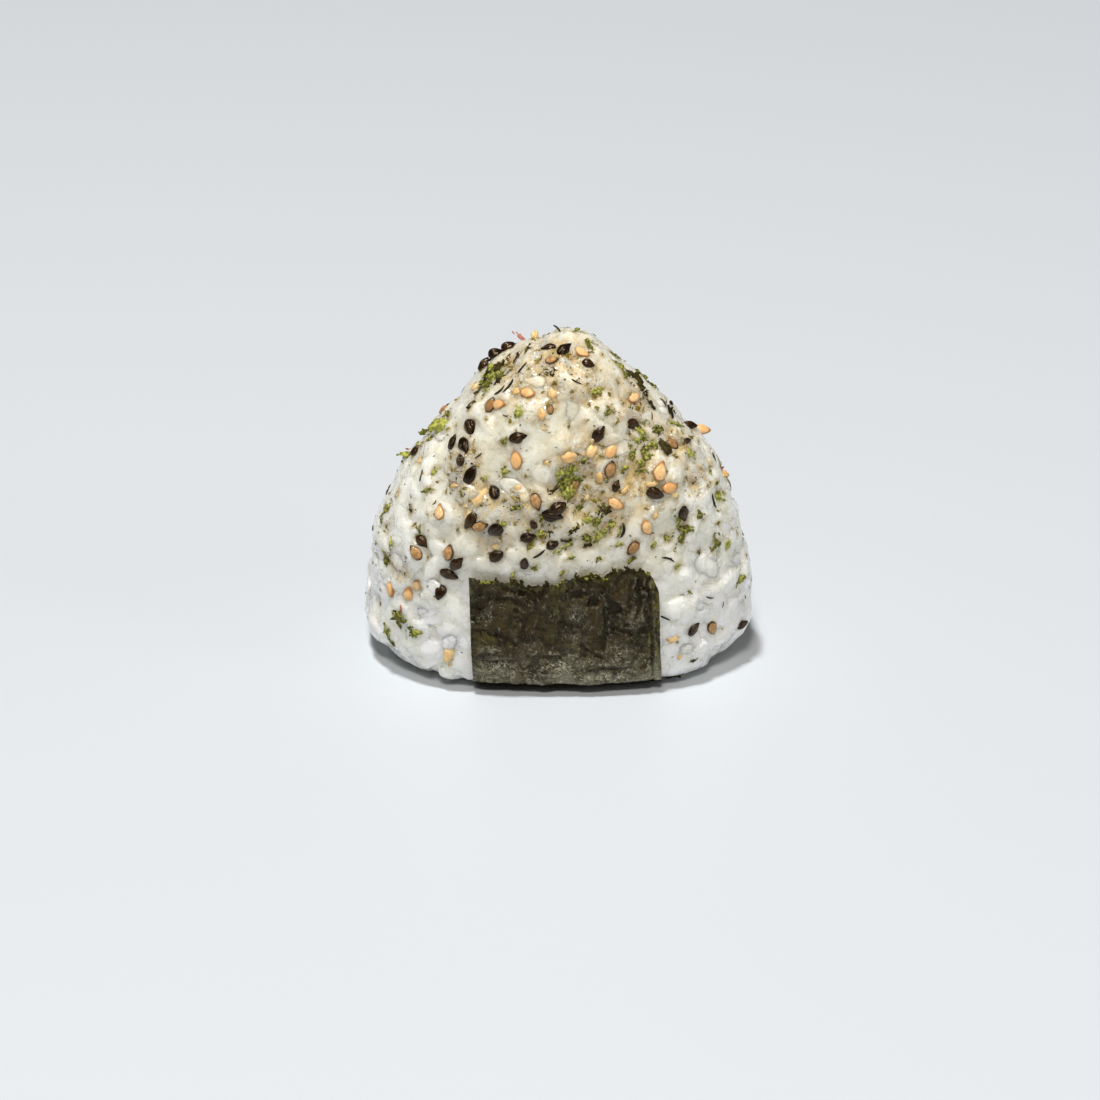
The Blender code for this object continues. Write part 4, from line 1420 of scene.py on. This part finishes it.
GREEN_FLAKES = (
    Spot(-0.59, 0.745, 10, 1.9, 0.3), Spot(-0.67, 0.73, 40, 1.5, 0.5), Spot(-0.765, 0.665, 0, 1.2, 0.5), Spot(-0.875, 0.52, 70, 1.2),
    Spot(-0.90, 0.485, 80), Spot(-0.87, 0.385, 65, 1.3), Spot(-0.85, 0.425, 60, 0.9), Spot(-0.80, 0.21, -30, 1.6),
    Spot(-0.72, 0.18, 20, 1.1), Spot(-0.875, 0.18, -50, 1.2), Spot(-0.85, 0.15, -40, 0.8), Spot(-0.32, 0.87, 40, 1.7),
    Spot(0.035, 0.60, 80, 1.5), Spot(0.045, 0.555, 60, 1.4), Spot(0.39, 0.70, 30, 1.5), Spot(0.41, 0.73, 70, 1.1),
    Spot(0.45, 0.66, -60, 1.0), Spot(0.335, 0.63, 30, 0.9), Spot(0.49, 0.73, 20, 1.3), Spot(0.135, 0.485, 20, 1.0),
    Spot(0.195, 0.485, 50, 1.2), Spot(0.19, 0.445, 80, 1.1), Spot(0.43, 0.89, -50, 1.2), Spot(0.295, 0.91, -70, 1.2),
    Spot(0.15, 0.965, 80, 1.1), Spot(0.085, 1.0, 0, 0.9, 0.7), Spot(0.81, 0.555, -50, 1.4), Spot(0.65, 0.465, 10, 1.2),
    Spot(0.61, 0.49, 80, 1.0), Spot(0.925, 0.325, 30, 1.2), Spot(-0.66, 0.57, 0, 0.9), Spot(-0.49, 0.56, 0, 0.6),
    Spot(-0.20, 0.78, 30, 1.1), Spot(0.25, 0.78, 30, 0.8), Spot(0.59, 0.75, -60, 1.1), Spot(-0.27, 0.705, 0, 0.8),
    Spot(0.80, 0.43, 40, 1.1), Spot(0.48, 0.42, 60, 0.6), Spot(0.31, 0.42, 0, 0.7), Spot(-0.23, 0.34, 80, 0.6),
    Spot(-0.21, 0.52, 0, 0.8), Spot(-0.10, 0.45, 30, 1.1), Spot(0.665, 0.67, -60, 0.9), Spot(0.765, 0.62, -70, 0.9),
    Spot(0.89, 0.60, 0, 0.7), Spot(0.48, 0.865, -45, 1.0), Spot(0.28, 0.94, 20, 0.8), Spot(0.06, 0.385, 0, 0.6),
    Spot(0.19, 0.835, 10, 1.0), Spot(0.66, 0.29, 0, 0.5), Spot(-0.345, 0.895, 50, 1.3, 0.2), Spot(-0.36, 0.845, 60, 1.1),
    Spot(0.33, 0.885, -60, 0.9), Spot(0.42, 0.62, 0, 0.9), Spot(0.075, 0.62, 70, 1.0), Spot(0.12, 0.645, 60, 0.8),
    Spot(0.24, 0.455, 60, 0.8), Spot(0.10, 0.52, 40, 0.8), Spot(-0.13, 0.42, 40, 0.7), Spot(0.43, 0.68, 50, 0.9),
    Spot(0.06, 0.63, 60, 1.3), Spot(0.02, 0.58, 80, 1.2), Spot(0.09, 0.60, 45, 1.1), Spot(0.00, 0.615, 70, 0.9),
    Spot(0.37, 0.665, 60, 1.2), Spot(0.42, 0.64, -40, 1.0), Spot(0.48, 0.695, 20, 1.1), Spot(0.27, 0.48, 50, 1.0),
    Spot(0.05, 0.42, 30, 0.9), Spot(0.14, 0.44, -30, 1.1), Spot(0.31, 0.46, 70, 0.8), Spot(-0.02, 0.40, 10, 0.8),
    Spot(-0.08, 0.50, 60, 0.9), Spot(-0.27, 0.48, 20, 0.8), Spot(0.62, 0.44, 60, 1.1), Spot(0.72, 0.50, -60, 0.9),
    Spot(0.55, 0.44, 30, 0.7), Spot(0.86, 0.42, 70, 0.8), Spot(-0.62, 0.62, 40, 0.8), Spot(-0.70, 0.46, 70, 0.7),
    Spot(-0.37, 0.60, 30, 0.7), Spot(-0.27, 0.62, 60, 0.7), Spot(-0.12, 0.36, 20, 0.7), Spot(0.20, 0.38, 80, 0.7),
    Spot(0.37, 0.38, 40, 0.8), Spot(0.45, 0.34, 20, 0.6), Spot(0.60, 0.36, 60, 0.6), Spot(0.02, 0.345, 50, 0.8),
)
DARK_FLAKES = (
    Spot(-0.295, 0.905, 60, 1.25, 0.3), Spot(-0.34, 0.93, 20, 0.8, 0.5), Spot(0.595, 0.055, 10, 1.1), Spot(0.385, 0.87, -35, 1.7), Spot(0.525, 0.695, -60, 1.5), Spot(0.57, 0.785, -65, 1.2),
    Spot(-0.16, 0.95, 40, 0.9), Spot(-0.03, 0.885, 60, 0.6), Spot(0.23, 0.51, 25, 1.2), Spot(-0.81, 0.23, 0, 0.8),
    Spot(0.69, 0.10, 0, 0.6), Spot(-0.01, 0.575, 40, 0.9), Spot(-0.75, 0.52, -40, 0.6), Spot(0.09, 0.665, 0, 0.4),
    Spot(-0.33, 0.90, 70, 1.3), Spot(-0.36, 0.87, 40, 1.1), Spot(-0.30, 0.87, 80, 0.9), Spot(-0.40, 0.84, 60, 1.0),
    Spot(-0.44, 0.80, 40, 0.8), Spot(-0.21, 0.93, 30, 0.8), Spot(0.34, 0.895, -50, 0.9), Spot(0.47, 0.80, -60, 0.9),
    Spot(0.08, 0.46, 20, 0.9), Spot(0.04, 0.43, -20, 0.8), Spot(0.15, 0.42, 10, 0.7), Spot(-0.05, 0.45, 40, 0.7),
)
DARK_THREADS = (
    Spot(-0.25, 0.85, 60, 1.3), Spot(-0.29, 0.84, 35, 1.1), Spot(-0.18, 0.90, 40, 1.0), Spot(-0.26, 0.77, -15, 0.6),
    Spot(0.0, 1.0, -40, 0.9, 0.8), Spot(-0.095, 0.395, 35, 1.1), Spot(0.32, 0.46, 75, 1.3), Spot(0.555, 0.38, -15, 1.0),
    Spot(0.77, 0.275, -30, 0.7), Spot(0.54, 0.22, -30, 0.9), Spot(-0.69, 0.61, 75, 0.9), Spot(-0.625, 0.535, 30, 0.7),
    Spot(0.53, 0.81, -70, 0.8), Spot(0.47, 0.77, 60, 0.6), Spot(0.785, 0.54, -65, 1.1), Spot(-0.40, 0.66, 30, 0.8),
    Spot(0.79, 0.66, -50, 0.8), Spot(0.84, 0.255, 80, 0.5), Spot(-0.56, 0.72, -20, 0.5), Spot(0.09, 0.86, -25, 0.8),
)
CRUMBS = (
    Spot(-0.56, 0.115, 80, 1.5), Spot(0.58, 0.16, 20, 1.0), Spot(0.62, 0.11, 40, 0.7), Spot(-0.70, 0.655, 60, 0.9),
    Spot(-0.53, 0.58, 0, 0.9), Spot(-0.82, 0.56, 80, 0.9), Spot(-0.42, 0.855, 70, 1.1), Spot(0.77, 0.645, 0, 0.8),
    Spot(-0.03, 0.83, 100, 1.5), Spot(-0.12, 0.99, 80, 1.0, 0.7), Spot(0.63, 0.425, 60, 0.6), Spot(-0.40, 0.54, 50, 1.9), Spot(0.05, 0.655, 10, 1.8),
    Spot(0.17, 0.675, 60, 1.6), Spot(-0.19, 0.575, 0, 1.4), Spot(0.58, 0.555, 0, 0.9), Spot(-0.45, 0.50, 70, 1.1),
    Spot(-0.30, 0.415, 20, 1.0), Spot(0.33, 0.565, 40, 1.1), Spot(0.20, 0.60, 80, 1.0), Spot(0.47, 0.585, 20, 1.0),
    Spot(-0.08, 0.77, 90, 1.3), Spot(-0.21, 0.835, 10, 1.2), Spot(0.49, 0.50, 60, 0.8), Spot(0.15, 0.55, 30, 0.9),
)
RED_FLAKES = (
    Spot(-0.19, 0.985, 130, 1.3, 0.9), Spot(-0.80, 0.24, 60, 0.8), Spot(0.83, 0.63, 0, 0.7),
)
STAINS = (
    Spot(0.0, 0.93, 0, 7.0), Spot(-0.12, 0.86, 0, 6.0), Spot(-0.22, 0.90, 0, 5.0), Spot(0.15, 0.86, 0, 4.5),
    Spot(0.38, 0.80, 0, 5.5), Spot(0.12, 0.65, 0, 6.5), Spot(-0.38, 0.53, 0, 5.5), Spot(0.05, 0.55, 0, 5.0),
    Spot(0.22, 0.52, 0, 6.5), Spot(0.42, 0.60, 0, 7.0), Spot(-0.20, 0.53, 0, 4.0), Spot(-0.33, 0.44, 0, 3.5),
    Spot(-0.10, 0.45, 0, 3.5), Spot(-0.47, 0.66, 0, 4.0), Spot(0.60, 0.70, 0, 4.5), Spot(-0.52, 0.60, 0, 3.0),
    Spot(0.45, 0.93, 0, 4.0), Spot(-0.80, 0.36, 0, 3.0), Spot(0.70, 0.60, 0, 3.5),
)


@dataclass(frozen=True)
class Sort:
    """How one kind of furikake is made and laid: its own size range, sink and random fill."""

    kind: Kind
    slot: str
    spots: tuple[Spot, ...]
    fill: int
    size: tuple[float, float]
    sink: float
    tilt: float
    low_share: float  # how much of the random fill the foot keeps, against the crown
    bits: int = 0  # how many small bits lie round each piece
    fringe: float = 0.0  # share of places along the strip's torn ends that hold a bit
    fringe_spans: tuple[tuple[float, float], ...] = ((-20.0, 25.0),)  # where along the ends, in millimetres
    fringe_size: tuple[float, float] = (0.22, 0.55)
    stained: float = 0.0  # share of the random fill that keeps to the stained places


@dataclass
class Furikake:
    """Everything that is sprinkled over the rice."""

    rice: bpy.types.Object
    strip_tree: BVHTree
    shapes: TemplateMaker
    low: Vector
    high: Vector
    box: tuple[Vector, Vector]
    end_line: list[Vector]
    strip_clearance: float = 1.6 * MM
    standing_height: float = 0.7 * MM
    seed: int = 5

    def __post_init__(self) -> None:
        """Reads the rice's surface and starts the random draws."""
        self.draw = random.Random(self.seed)
        self.tree = tree_of(self.rice)
        mesh = self.rice.data
        self.middles = np.zeros(len(mesh.polygons) * 3)
        mesh.polygons.foreach_get("center", self.middles)
        self.middles = self.middles.reshape(-1, 3)
        self.stains = self.stain_places()

    def on_surface(self, spot: Spot) -> tuple[Vector, Vector] | None:
        """The place on the rice that a spot names, and the outward direction there.

        Args:
            spot: The chosen place, seen from the front and a little above.

        Returns:
            The place and the direction, or None where the spot misses the rice.
        """
        foot = self.low.y * math.sin(VIEW_ELEVATION)
        tip = self.high.z * math.cos(VIEW_ELEVATION)
        rise = foot + spot.up * (tip - foot)
        level = Vector((0.0, math.sin(VIEW_ELEVATION), math.cos(VIEW_ELEVATION)))
        middle = Vector((spot.across * self.high.x, 0.0, 0.0)) + level * rise
        place, _, _, _ = self.tree.ray_cast(middle - LOOK * 0.3, LOOK)
        if place is None:
            line = [self.tree.find_nearest(middle + LOOK * step * MM) for step in range(-30, 31)]
            place, _, _, gap = min(line, key=lambda hit: hit[3])
            if gap > 3.0 * MM:
                return None
        return place, self.outward(place)

    def outward(self, place: Vector) -> Vector:
        """The rice's outward direction, averaged so that it ignores the smallest dents."""
        total = Vector()
        for _, normal, _, _ in self.tree.find_nearest_range(place, 1.1 * MM):
            total += normal
        return total.normalized()

    def place_spots(self, sort: Sort, count: int) -> list[Placement]:
        """Lays the pieces whose places are listed."""
        laid = []
        for spot in sort.spots:
            found = self.on_surface(spot)
            if found is None:
                LOG.warning("%s: %s misses the rice", sort.kind.value, spot)
                continue
            angle = math.radians(spot.turn)
            level = Vector((0.0, math.sin(VIEW_ELEVATION), math.cos(VIEW_ELEVATION)))
            heading = Vector((math.cos(angle), 0.0, 0.0)) + level * math.sin(angle)
            place, normal = found
            raised = place + normal * self.standing_height * spot.stand * spot.size
            laid.append(self.lay(sort, (raised, normal.lerp(-LOOK, spot.stand)), heading, spot.size, count))
            laid += self.bits_round(sort, found, heading, spot.size, count)
        return laid

    def bits_round(self, sort: Sort, found: tuple[Vector, Vector], heading: Vector, size: float,
                   count: int) -> list[Placement]:
        """Small bits that broke off a piece and lie along it."""
        laid = []
        for _ in range(round(sort.bits * size * self.draw.uniform(0.6, 1.4))):
            jump = heading.normalized() * self.draw.gauss(0.0, 1.0) + Vector([self.draw.gauss(0.0, 0.45) for _ in range(3)])
            place, normal, _, _ = self.tree.find_nearest(found[0] + jump * size * MM)
            if self.strip_tree.find_nearest(place)[3] < self.strip_clearance:
                continue
            turned = Vector([self.draw.gauss(0.0, 1.0) for _ in range(3)])
            laid.append(self.lay(sort, (place, normal), turned, self.draw.uniform(0.15, 0.42) * size, count))
        return laid

    def place_fringe(self, sort: Sort, count: int) -> list[Placement]:
        """Bits caught along the strip's torn ends."""
        laid = []
        for place in self.end_line:
            inside = any(low * MM < place.x < high * MM for low, high in sort.fringe_spans)
            if not inside or self.draw.random() > sort.fringe:
                continue
            _, normal, _, _ = self.tree.find_nearest(place)
            jump = Vector((self.draw.uniform(-0.3, 0.3), 0.0, self.draw.uniform(-0.35, 0.25))) * MM
            heading = Vector([self.draw.gauss(0.0, 1.0) for _ in range(3)])
            size = self.draw.uniform(*sort.fringe_size)
            laid.append(self.lay(sort, (place + jump + normal * 0.1 * MM, normal), heading, size, count))
        return laid

    def lay(self, sort: Sort, found: tuple[Vector, Vector], heading: Vector, size: float, count: int) -> Placement:
        """One piece on the rice, sunk a little into it."""
        place, normal = found
        lean = Vector([self.draw.gauss(0.0, sort.tilt) for _ in range(3)])
        up = (normal + lean).normalized()
        matrix = lying_matrix(place - normal * sort.sink * size, up, heading, Vector((size, size, size)))
        return Placement(matrix, self.draw.randrange(count), self.draw.random())

    def place_fill(self, sort: Sort, count: int) -> list[Placement]:
        """Scatters the rest over the ball, thicker at the crown than at the foot, away from the front's spots."""
        laid = []
        tries = 0
        while len(laid) < sort.fill and tries < sort.fill * 40:
            tries += 1
            place = Vector(self.middles[self.draw.randrange(len(self.middles))])
            if self.draw.random() < sort.stained:
                place = self.stained_place()
            share = smooth_step(place.z, 8 * MM, 50 * MM)
            if self.draw.random() > sort.low_share + (1.0 - sort.low_share) * share:
                continue
            normal = self.outward(place)
            if normal.z < -0.35 or (sort.spots and self.faces_front(place, normal)):
                continue
            if self.strip_tree.find_nearest(place)[3] < self.strip_clearance:
                continue
            heading = Vector([self.draw.gauss(0.0, 1.0) for _ in range(3)])
            size = self.draw.uniform(*sort.size)
            laid.append(self.lay(sort, (place, normal), heading, size, count))
            laid += self.bits_round(sort, (place, normal), heading, size, count)
        return laid

    def faces_front(self, place: Vector, normal: Vector) -> bool:
        """Whether a place is seen from the front and a little above, where the listed pieces are laid."""
        return normal.dot(LOOK) < 0.15 and place.y < 10 * MM

    def templates_for(self, kind: Kind) -> list[Template]:
        """Models the shapes of one kind."""
        make = self.shapes
        if kind in (Kind.BLACK_SESAME, Kind.BROWN_SESAME, Kind.TAN_SESAME):
            return [make.sesame(plump) for plump in (1.0, 0.94, 1.06)]
        if kind is Kind.RED_FLAKE:
            return [make.flake(2.6 * MM, narrow, 0.14 * MM) for narrow in (0.22, 0.3)]
        if kind in (Kind.GREEN_FLAKE, Kind.DARK_FLAKE):
            return [make.flake(3.2 * MM, narrow, 0.12 * MM, lace) for narrow, lace in
                    ((0.4, 0.9), (0.55, 0.7), (0.7, 1.2), (0.3, 0.6), (0.45, 1.0), (0.35, 0.8), (0.6, 0.8), (0.22, 0.5))]
        if kind is Kind.DARK_THREAD:
            return [make.thread(2.6 * MM, 0.42 * MM, curl) for curl in (0.5, -0.9, 1.4, 0.1)]
        if kind is Kind.CRUMB:
            return [make.lump(Vector(size) * MM, 0.55) for size in ((2.4, 1.7, 1.2), (2.1, 1.5, 1.3), (2.6, 1.3, 1.0))]
        if kind is Kind.OLIVE_CRUMB:
            return [make.flake(3.0 * MM, narrow, 0.14 * MM, 0.9) for narrow in (0.35, 0.5, 0.7, 0.9)]
        if kind is Kind.GOLD_BIT:
            return [make.lump(Vector(size) * MM, 0.6, 1) for size in ((1.0, 0.7, 0.5), (0.8, 0.7, 0.5), (1.2, 0.6, 0.4))]
        if kind is Kind.SPECK:
            return [make.lump(Vector(size) * MM, 0.6, 1) for size in ((0.75, 0.32, 0.22), (0.5, 0.42, 0.25), (0.9, 0.25, 0.2))]
        return [make.lump(Vector(size) * MM, 0.5, 1) for size in ((0.40, 0.32, 0.28), (0.30, 0.30, 0.25), (0.46, 0.28, 0.24))]

    def build(self, sort: Sort, finish: object) -> bpy.types.Object:
        """Makes and dresses the piece of one kind.

        Args:
            sort: How the kind is laid.
            finish: The finish, whose make method gives the material.

        Returns:
            The object that holds every piece of the kind.
        """
        templates = self.templates_for(sort.kind)
        count = len(templates)
        placements = self.place_spots(sort, count) + self.place_fill(sort, count) + self.place_fringe(sort, count)
        item = join_copies(sort.kind.value, templates, placements)
        self.finish_piece(item, finish)
        return item

    def finish_piece(self, item: bpy.types.Object, finish: object) -> None:
        """Keeps a piece inside the frame's box and gives it its material and body."""
        places = coordinates(item)
        for axis in range(3):
            np.clip(places[:, axis], self.box[0][axis], self.box[1][axis], out=places[:, axis])
        move_vertices(item, places)
        item.data.materials.append(finish.make())
        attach(item, BODY)

    def stained_place(self) -> Vector:
        """A random place in or just round one of the stains."""
        middle, radius = self.draw.choice(self.stains)
        jump = Vector([self.draw.gauss(0.0, 0.5) for _ in range(3)]) * radius
        return self.tree.find_nearest(middle + jump)[0]

    def stain_places(self) -> list[tuple[Vector, float]]:
        """The middle and the radius of each place where seasoning has melted into the rice."""
        found = []
        for spot in STAINS:
            hit = self.on_surface(spot)
            if hit is not None:
                found.append((hit[0], spot.size * MM))
        for _ in range(26):
            place = Vector(self.middles[self.draw.randrange(len(self.middles))])
            if place.y > 0.0 and place.z > 12 * MM:
                found.append((place, self.draw.uniform(2.5, 6.0) * MM))
        return found

    def build_granules(self, count: int) -> bpy.types.Object:
        """Sprinkles fine granules, most of them where the rice is stained."""
        templates = self.templates_for(Kind.GRANULE)
        sort = Sort(Kind.GRANULE, "seasoning", (), 0, (0.6, 1.3), 0.06 * MM, 0.3, 0.3)
        placements = []
        while len(placements) < count:
            if self.draw.random() < 0.72:
                place = self.stained_place()
            else:
                place = Vector(self.middles[self.draw.randrange(len(self.middles))])
            if place.z < 14 * MM * self.draw.random() + 4 * MM or self.strip_tree.find_nearest(place)[3] < self.strip_clearance:
                continue
            _, normal, _, _ = self.tree.find_nearest(place)
            heading = Vector([self.draw.gauss(0.0, 1.0) for _ in range(3)])
            placements.append(self.lay(sort, (place, normal), heading, self.draw.uniform(*sort.size), len(templates)))
        item = join_copies(Kind.GRANULE.value, templates, placements)
        self.finish_piece(item, GranuleFinish())
        return item


# ---------------------------------------------------------------------------------------------------------
# The studio


@dataclass
class Studio:
    """The pale floor, the soft lights and the camera."""

    lens: float = 149.8
    distance: float = 0.888
    aim: tuple[float, float, float] = (-1.57 * MM, 0.0, 20.8 * MM)
    floor_drop: float = 0.05 * MM

    def build(self) -> None:
        """Puts the floor, lights, world and camera in place."""
        self.build_floor()
        self.build_lights()
        self.build_camera()

    def build_floor(self) -> None:
        """A wide flat floor just below the foot."""
        deselect_all()
        bpy.ops.mesh.primitive_plane_add(size=6.0, location=(0.0, 0.0, 0.0))
        floor = bpy.context.active_object
        floor.name = "pale_floor"
        floor.data.transform(Matrix.Translation((0.0, 0.0, -self.floor_drop)))
        floor.data.materials.append(FloorFinish().make())
        floor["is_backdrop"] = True

    def add_light(self, name: str, place: Vector, size: float, power: float, colour: Sequence[float]) -> None:
        """A square softbox that faces the middle of the ball.

        Args:
            name: The light's name.
            place: Where it hangs.
            size: Length of its side, in metres.
            power: Its power in watts.
            colour: Its colour.
        """
        deselect_all()
        aim = Vector((0.0, 0.0, 30 * MM)) - place
        turn = aim.to_track_quat("-Z", "Y").to_euler()
        bpy.ops.object.light_add(type="AREA", location=place, rotation=turn)
        light = bpy.context.active_object
        light.name = name
        light.data.shape = "SQUARE"
        light.data.size = size
        light.data.energy = power
        light.data.color = colour

    def build_lights(self) -> None:
        """An overhead softbox as the key, a weak one in front, and an even pale surrounding."""
        self.add_light("overhead_softbox", Vector((-0.20, -0.12, 1.70)), 0.18, 24.8, (1.0, 0.995, 0.98))
        self.add_light("front_softbox", Vector((-0.10, -1.06, 1.66)), 0.30, 16.7, (1.0, 0.95, 0.88))
        self.add_light("side_softbox", Vector((1.20, -0.45, 0.42)), 0.40, 2.0, (1.0, 0.97, 0.93))
        world = bpy.data.worlds.new("soft_surround")
        world.use_nodes = True
        background = world.node_tree.nodes["Background"]
        background.inputs["Color"].default_value = (1.0, 0.84, 0.64, 1.0)
        background.inputs["Strength"].default_value = 0.063
        bpy.context.scene.world = world
        bpy.context.scene.view_settings.view_transform = "Standard"

    def build_camera(self) -> None:
        """A long lens, looking down at the front face."""
        place = Vector(self.aim) - LOOK * self.distance
        bpy.ops.object.camera_add(location=place, rotation=(math.pi / 2 - VIEW_ELEVATION, 0.0, 0.0))
        camera = bpy.context.active_object
        camera.data.lens = self.lens
        camera.data.sensor_width = 36.0
        bpy.context.scene.camera = camera


# ---------------------------------------------------------------------------------------------------------
# Assembly


SORTS = (
    (Sort(Kind.BLACK_SESAME, "black_sesame", BLACK_SEEDS, 46, (0.85, 1.15), -0.1 * MM, 0.10, 0.35),
     SeedFinish("black_hull", (0.052, 0.024, 0.009), (0.006, 0.003, 0.001), (0.003, 0.0015, 0.0005), 0.21, ribs=0.06 * MM)),
    (Sort(Kind.BROWN_SESAME, "tan_sesame", BROWN_SEEDS, 16, (0.85, 1.1), -0.05 * MM, 0.10, 0.35),
     SeedFinish("brown_hull", (0.62, 0.38, 0.17), (0.30, 0.165, 0.060), (0.045, 0.018, 0.006), 0.32, 0.2 * MM, 1.0)),
    (Sort(Kind.TAN_SESAME, "tan_sesame", TAN_SEEDS, 29, (0.85, 1.15), 0.0 * MM, 0.10, 0.3),
     SeedFinish("tan_hull", (0.91, 0.68, 0.39), (0.78, 0.45, 0.18), (0.36, 0.16, 0.045), 0.28, 0.4 * MM, 0.9, 0.016 * MM)),
    (Sort(Kind.GREEN_FLAKE, "green_flakes", GREEN_FLAKES, 150, (0.4, 1.35), -0.12 * MM, 0.30, 0.3, 4, 0.35, ((-15.5, -12.5), (-2.0, 3.0), (5.0, 8.5)), (0.25, 0.65)),
     FlakeFinish("green_leaf", (0.51, 0.52, 0.115), (0.088, 0.088, 0.015))),
    (Sort(Kind.DARK_FLAKE, "green_flakes", DARK_FLAKES, 34, (0.4, 1.2), -0.12 * MM, 0.25, 0.3, 3, 0.4, ((-12.5, -2.0), (3.0, 16.0)), (0.30, 0.95)),
     FlakeFinish("dark_leaf", (0.070, 0.054, 0.009), (0.010, 0.007, 0.002))),
    (Sort(Kind.DARK_THREAD, "nori", DARK_THREADS, 90, (0.3, 1.1), -0.05 * MM, 0.15, 0.45),
     FlakeFinish("dark_shred", (0.045, 0.032, 0.016), (0.010, 0.007, 0.004), 0.45)),
    (Sort(Kind.CRUMB, "tan_sesame", CRUMBS, 30, (0.4, 1.0), 0.30 * MM, 0.15, 0.35, 2),
     SeedFinish("amber_crumb", (0.95, 0.70, 0.38), (0.82, 0.48, 0.20), (0.86, 0.56, 0.28), 0.32, 1.2 * MM, 0.4)),
    (Sort(Kind.RED_FLAKE, "tan_sesame", RED_FLAKES, 8, (0.4, 0.8), -0.1 * MM, 0.3, 0.3),
     FlakeFinish("red_shaving", (0.66, 0.32, 0.24), (0.40, 0.14, 0.10), 0.5)),
    (Sort(Kind.OLIVE_CRUMB, "green_flakes", (), 420, (0.18, 0.55), -0.08 * MM, 0.3, 0.12, stained=0.4),
     FlakeFinish("olive_crumb", (0.34, 0.27, 0.05), (0.15, 0.105, 0.018), 0.5)),
    (Sort(Kind.GOLD_BIT, "tan_sesame", (), 520, (0.5, 1.7), 0.20 * MM, 0.3, 0.22, stained=0.5),
     SeedFinish("golden_bit", (0.88, 0.66, 0.34), (0.48, 0.29, 0.09), (0.60, 0.38, 0.14), 0.26, 1.0 * MM, 0.3)),
    (Sort(Kind.SPECK, "nori", (), 330, (0.4, 1.1), -0.02 * MM, 0.2, 0.20, stained=0.4),
     FlakeFinish("dark_speck", (0.10, 0.07, 0.025), (0.012, 0.009, 0.005), 0.5)),
)
GRANULE_COUNT = 8000
# The pieces round which the rice is browned, partly by soaked juice and partly by painted contact shade.
SOAKING_AND_SHADING = tuple(kind.value for kind in (Kind.BLACK_SESAME, Kind.BROWN_SESAME, Kind.TAN_SESAME, Kind.GREEN_FLAKE,
                                        Kind.DARK_FLAKE, Kind.CRUMB, Kind.OLIVE_CRUMB))


def report_piece(item: bpy.types.Object) -> None:
    """Logs a finished piece's name and its number of triangles."""
    triangles = sum(len(p.vertices) - 2 for p in item.data.polygons)
    LOG.info("%s: %d triangles", item.name, triangles)


def main() -> None:
    """Builds the onigiri and its studio in order."""
    logging.basicConfig(level=logging.INFO, format="%(name)s %(message)s")
    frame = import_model()
    cad_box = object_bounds()
    deselect_all()
    nodes = frame["nodes"]
    shapes = TemplateMaker()
    strip_tree = tree_of(nodes["nori_strip"])
    rice_tree = tree_of(nodes["rice_ball"])

    ball = RiceBall(nodes["rice_ball"], strip_tree, shapes)
    ball.build_mass()
    ball.build_grains()
    strip = NoriStrip(nodes["nori_strip"], rice_tree)
    strip.build()
    low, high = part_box("rice_ball")
    furikake = Furikake(ball.mass, strip_tree, shapes, low, high, cad_box, strip.end_line())
    sprinkled = [furikake.build(sort, finish) for sort, finish in SORTS]
    sprinkled.append(furikake.build_granules(GRANULE_COUNT))
    ball.dress(furikake.stains, [piece for piece in sprinkled if piece.name in SOAKING_AND_SHADING])
    strip.dress()
    pieces = [ball.mass, ball.grains, strip.sheet, *sprinkled]
    Studio().build()
    for piece in pieces:
        report_piece(piece)


if __name__ == "__main__":
    main()
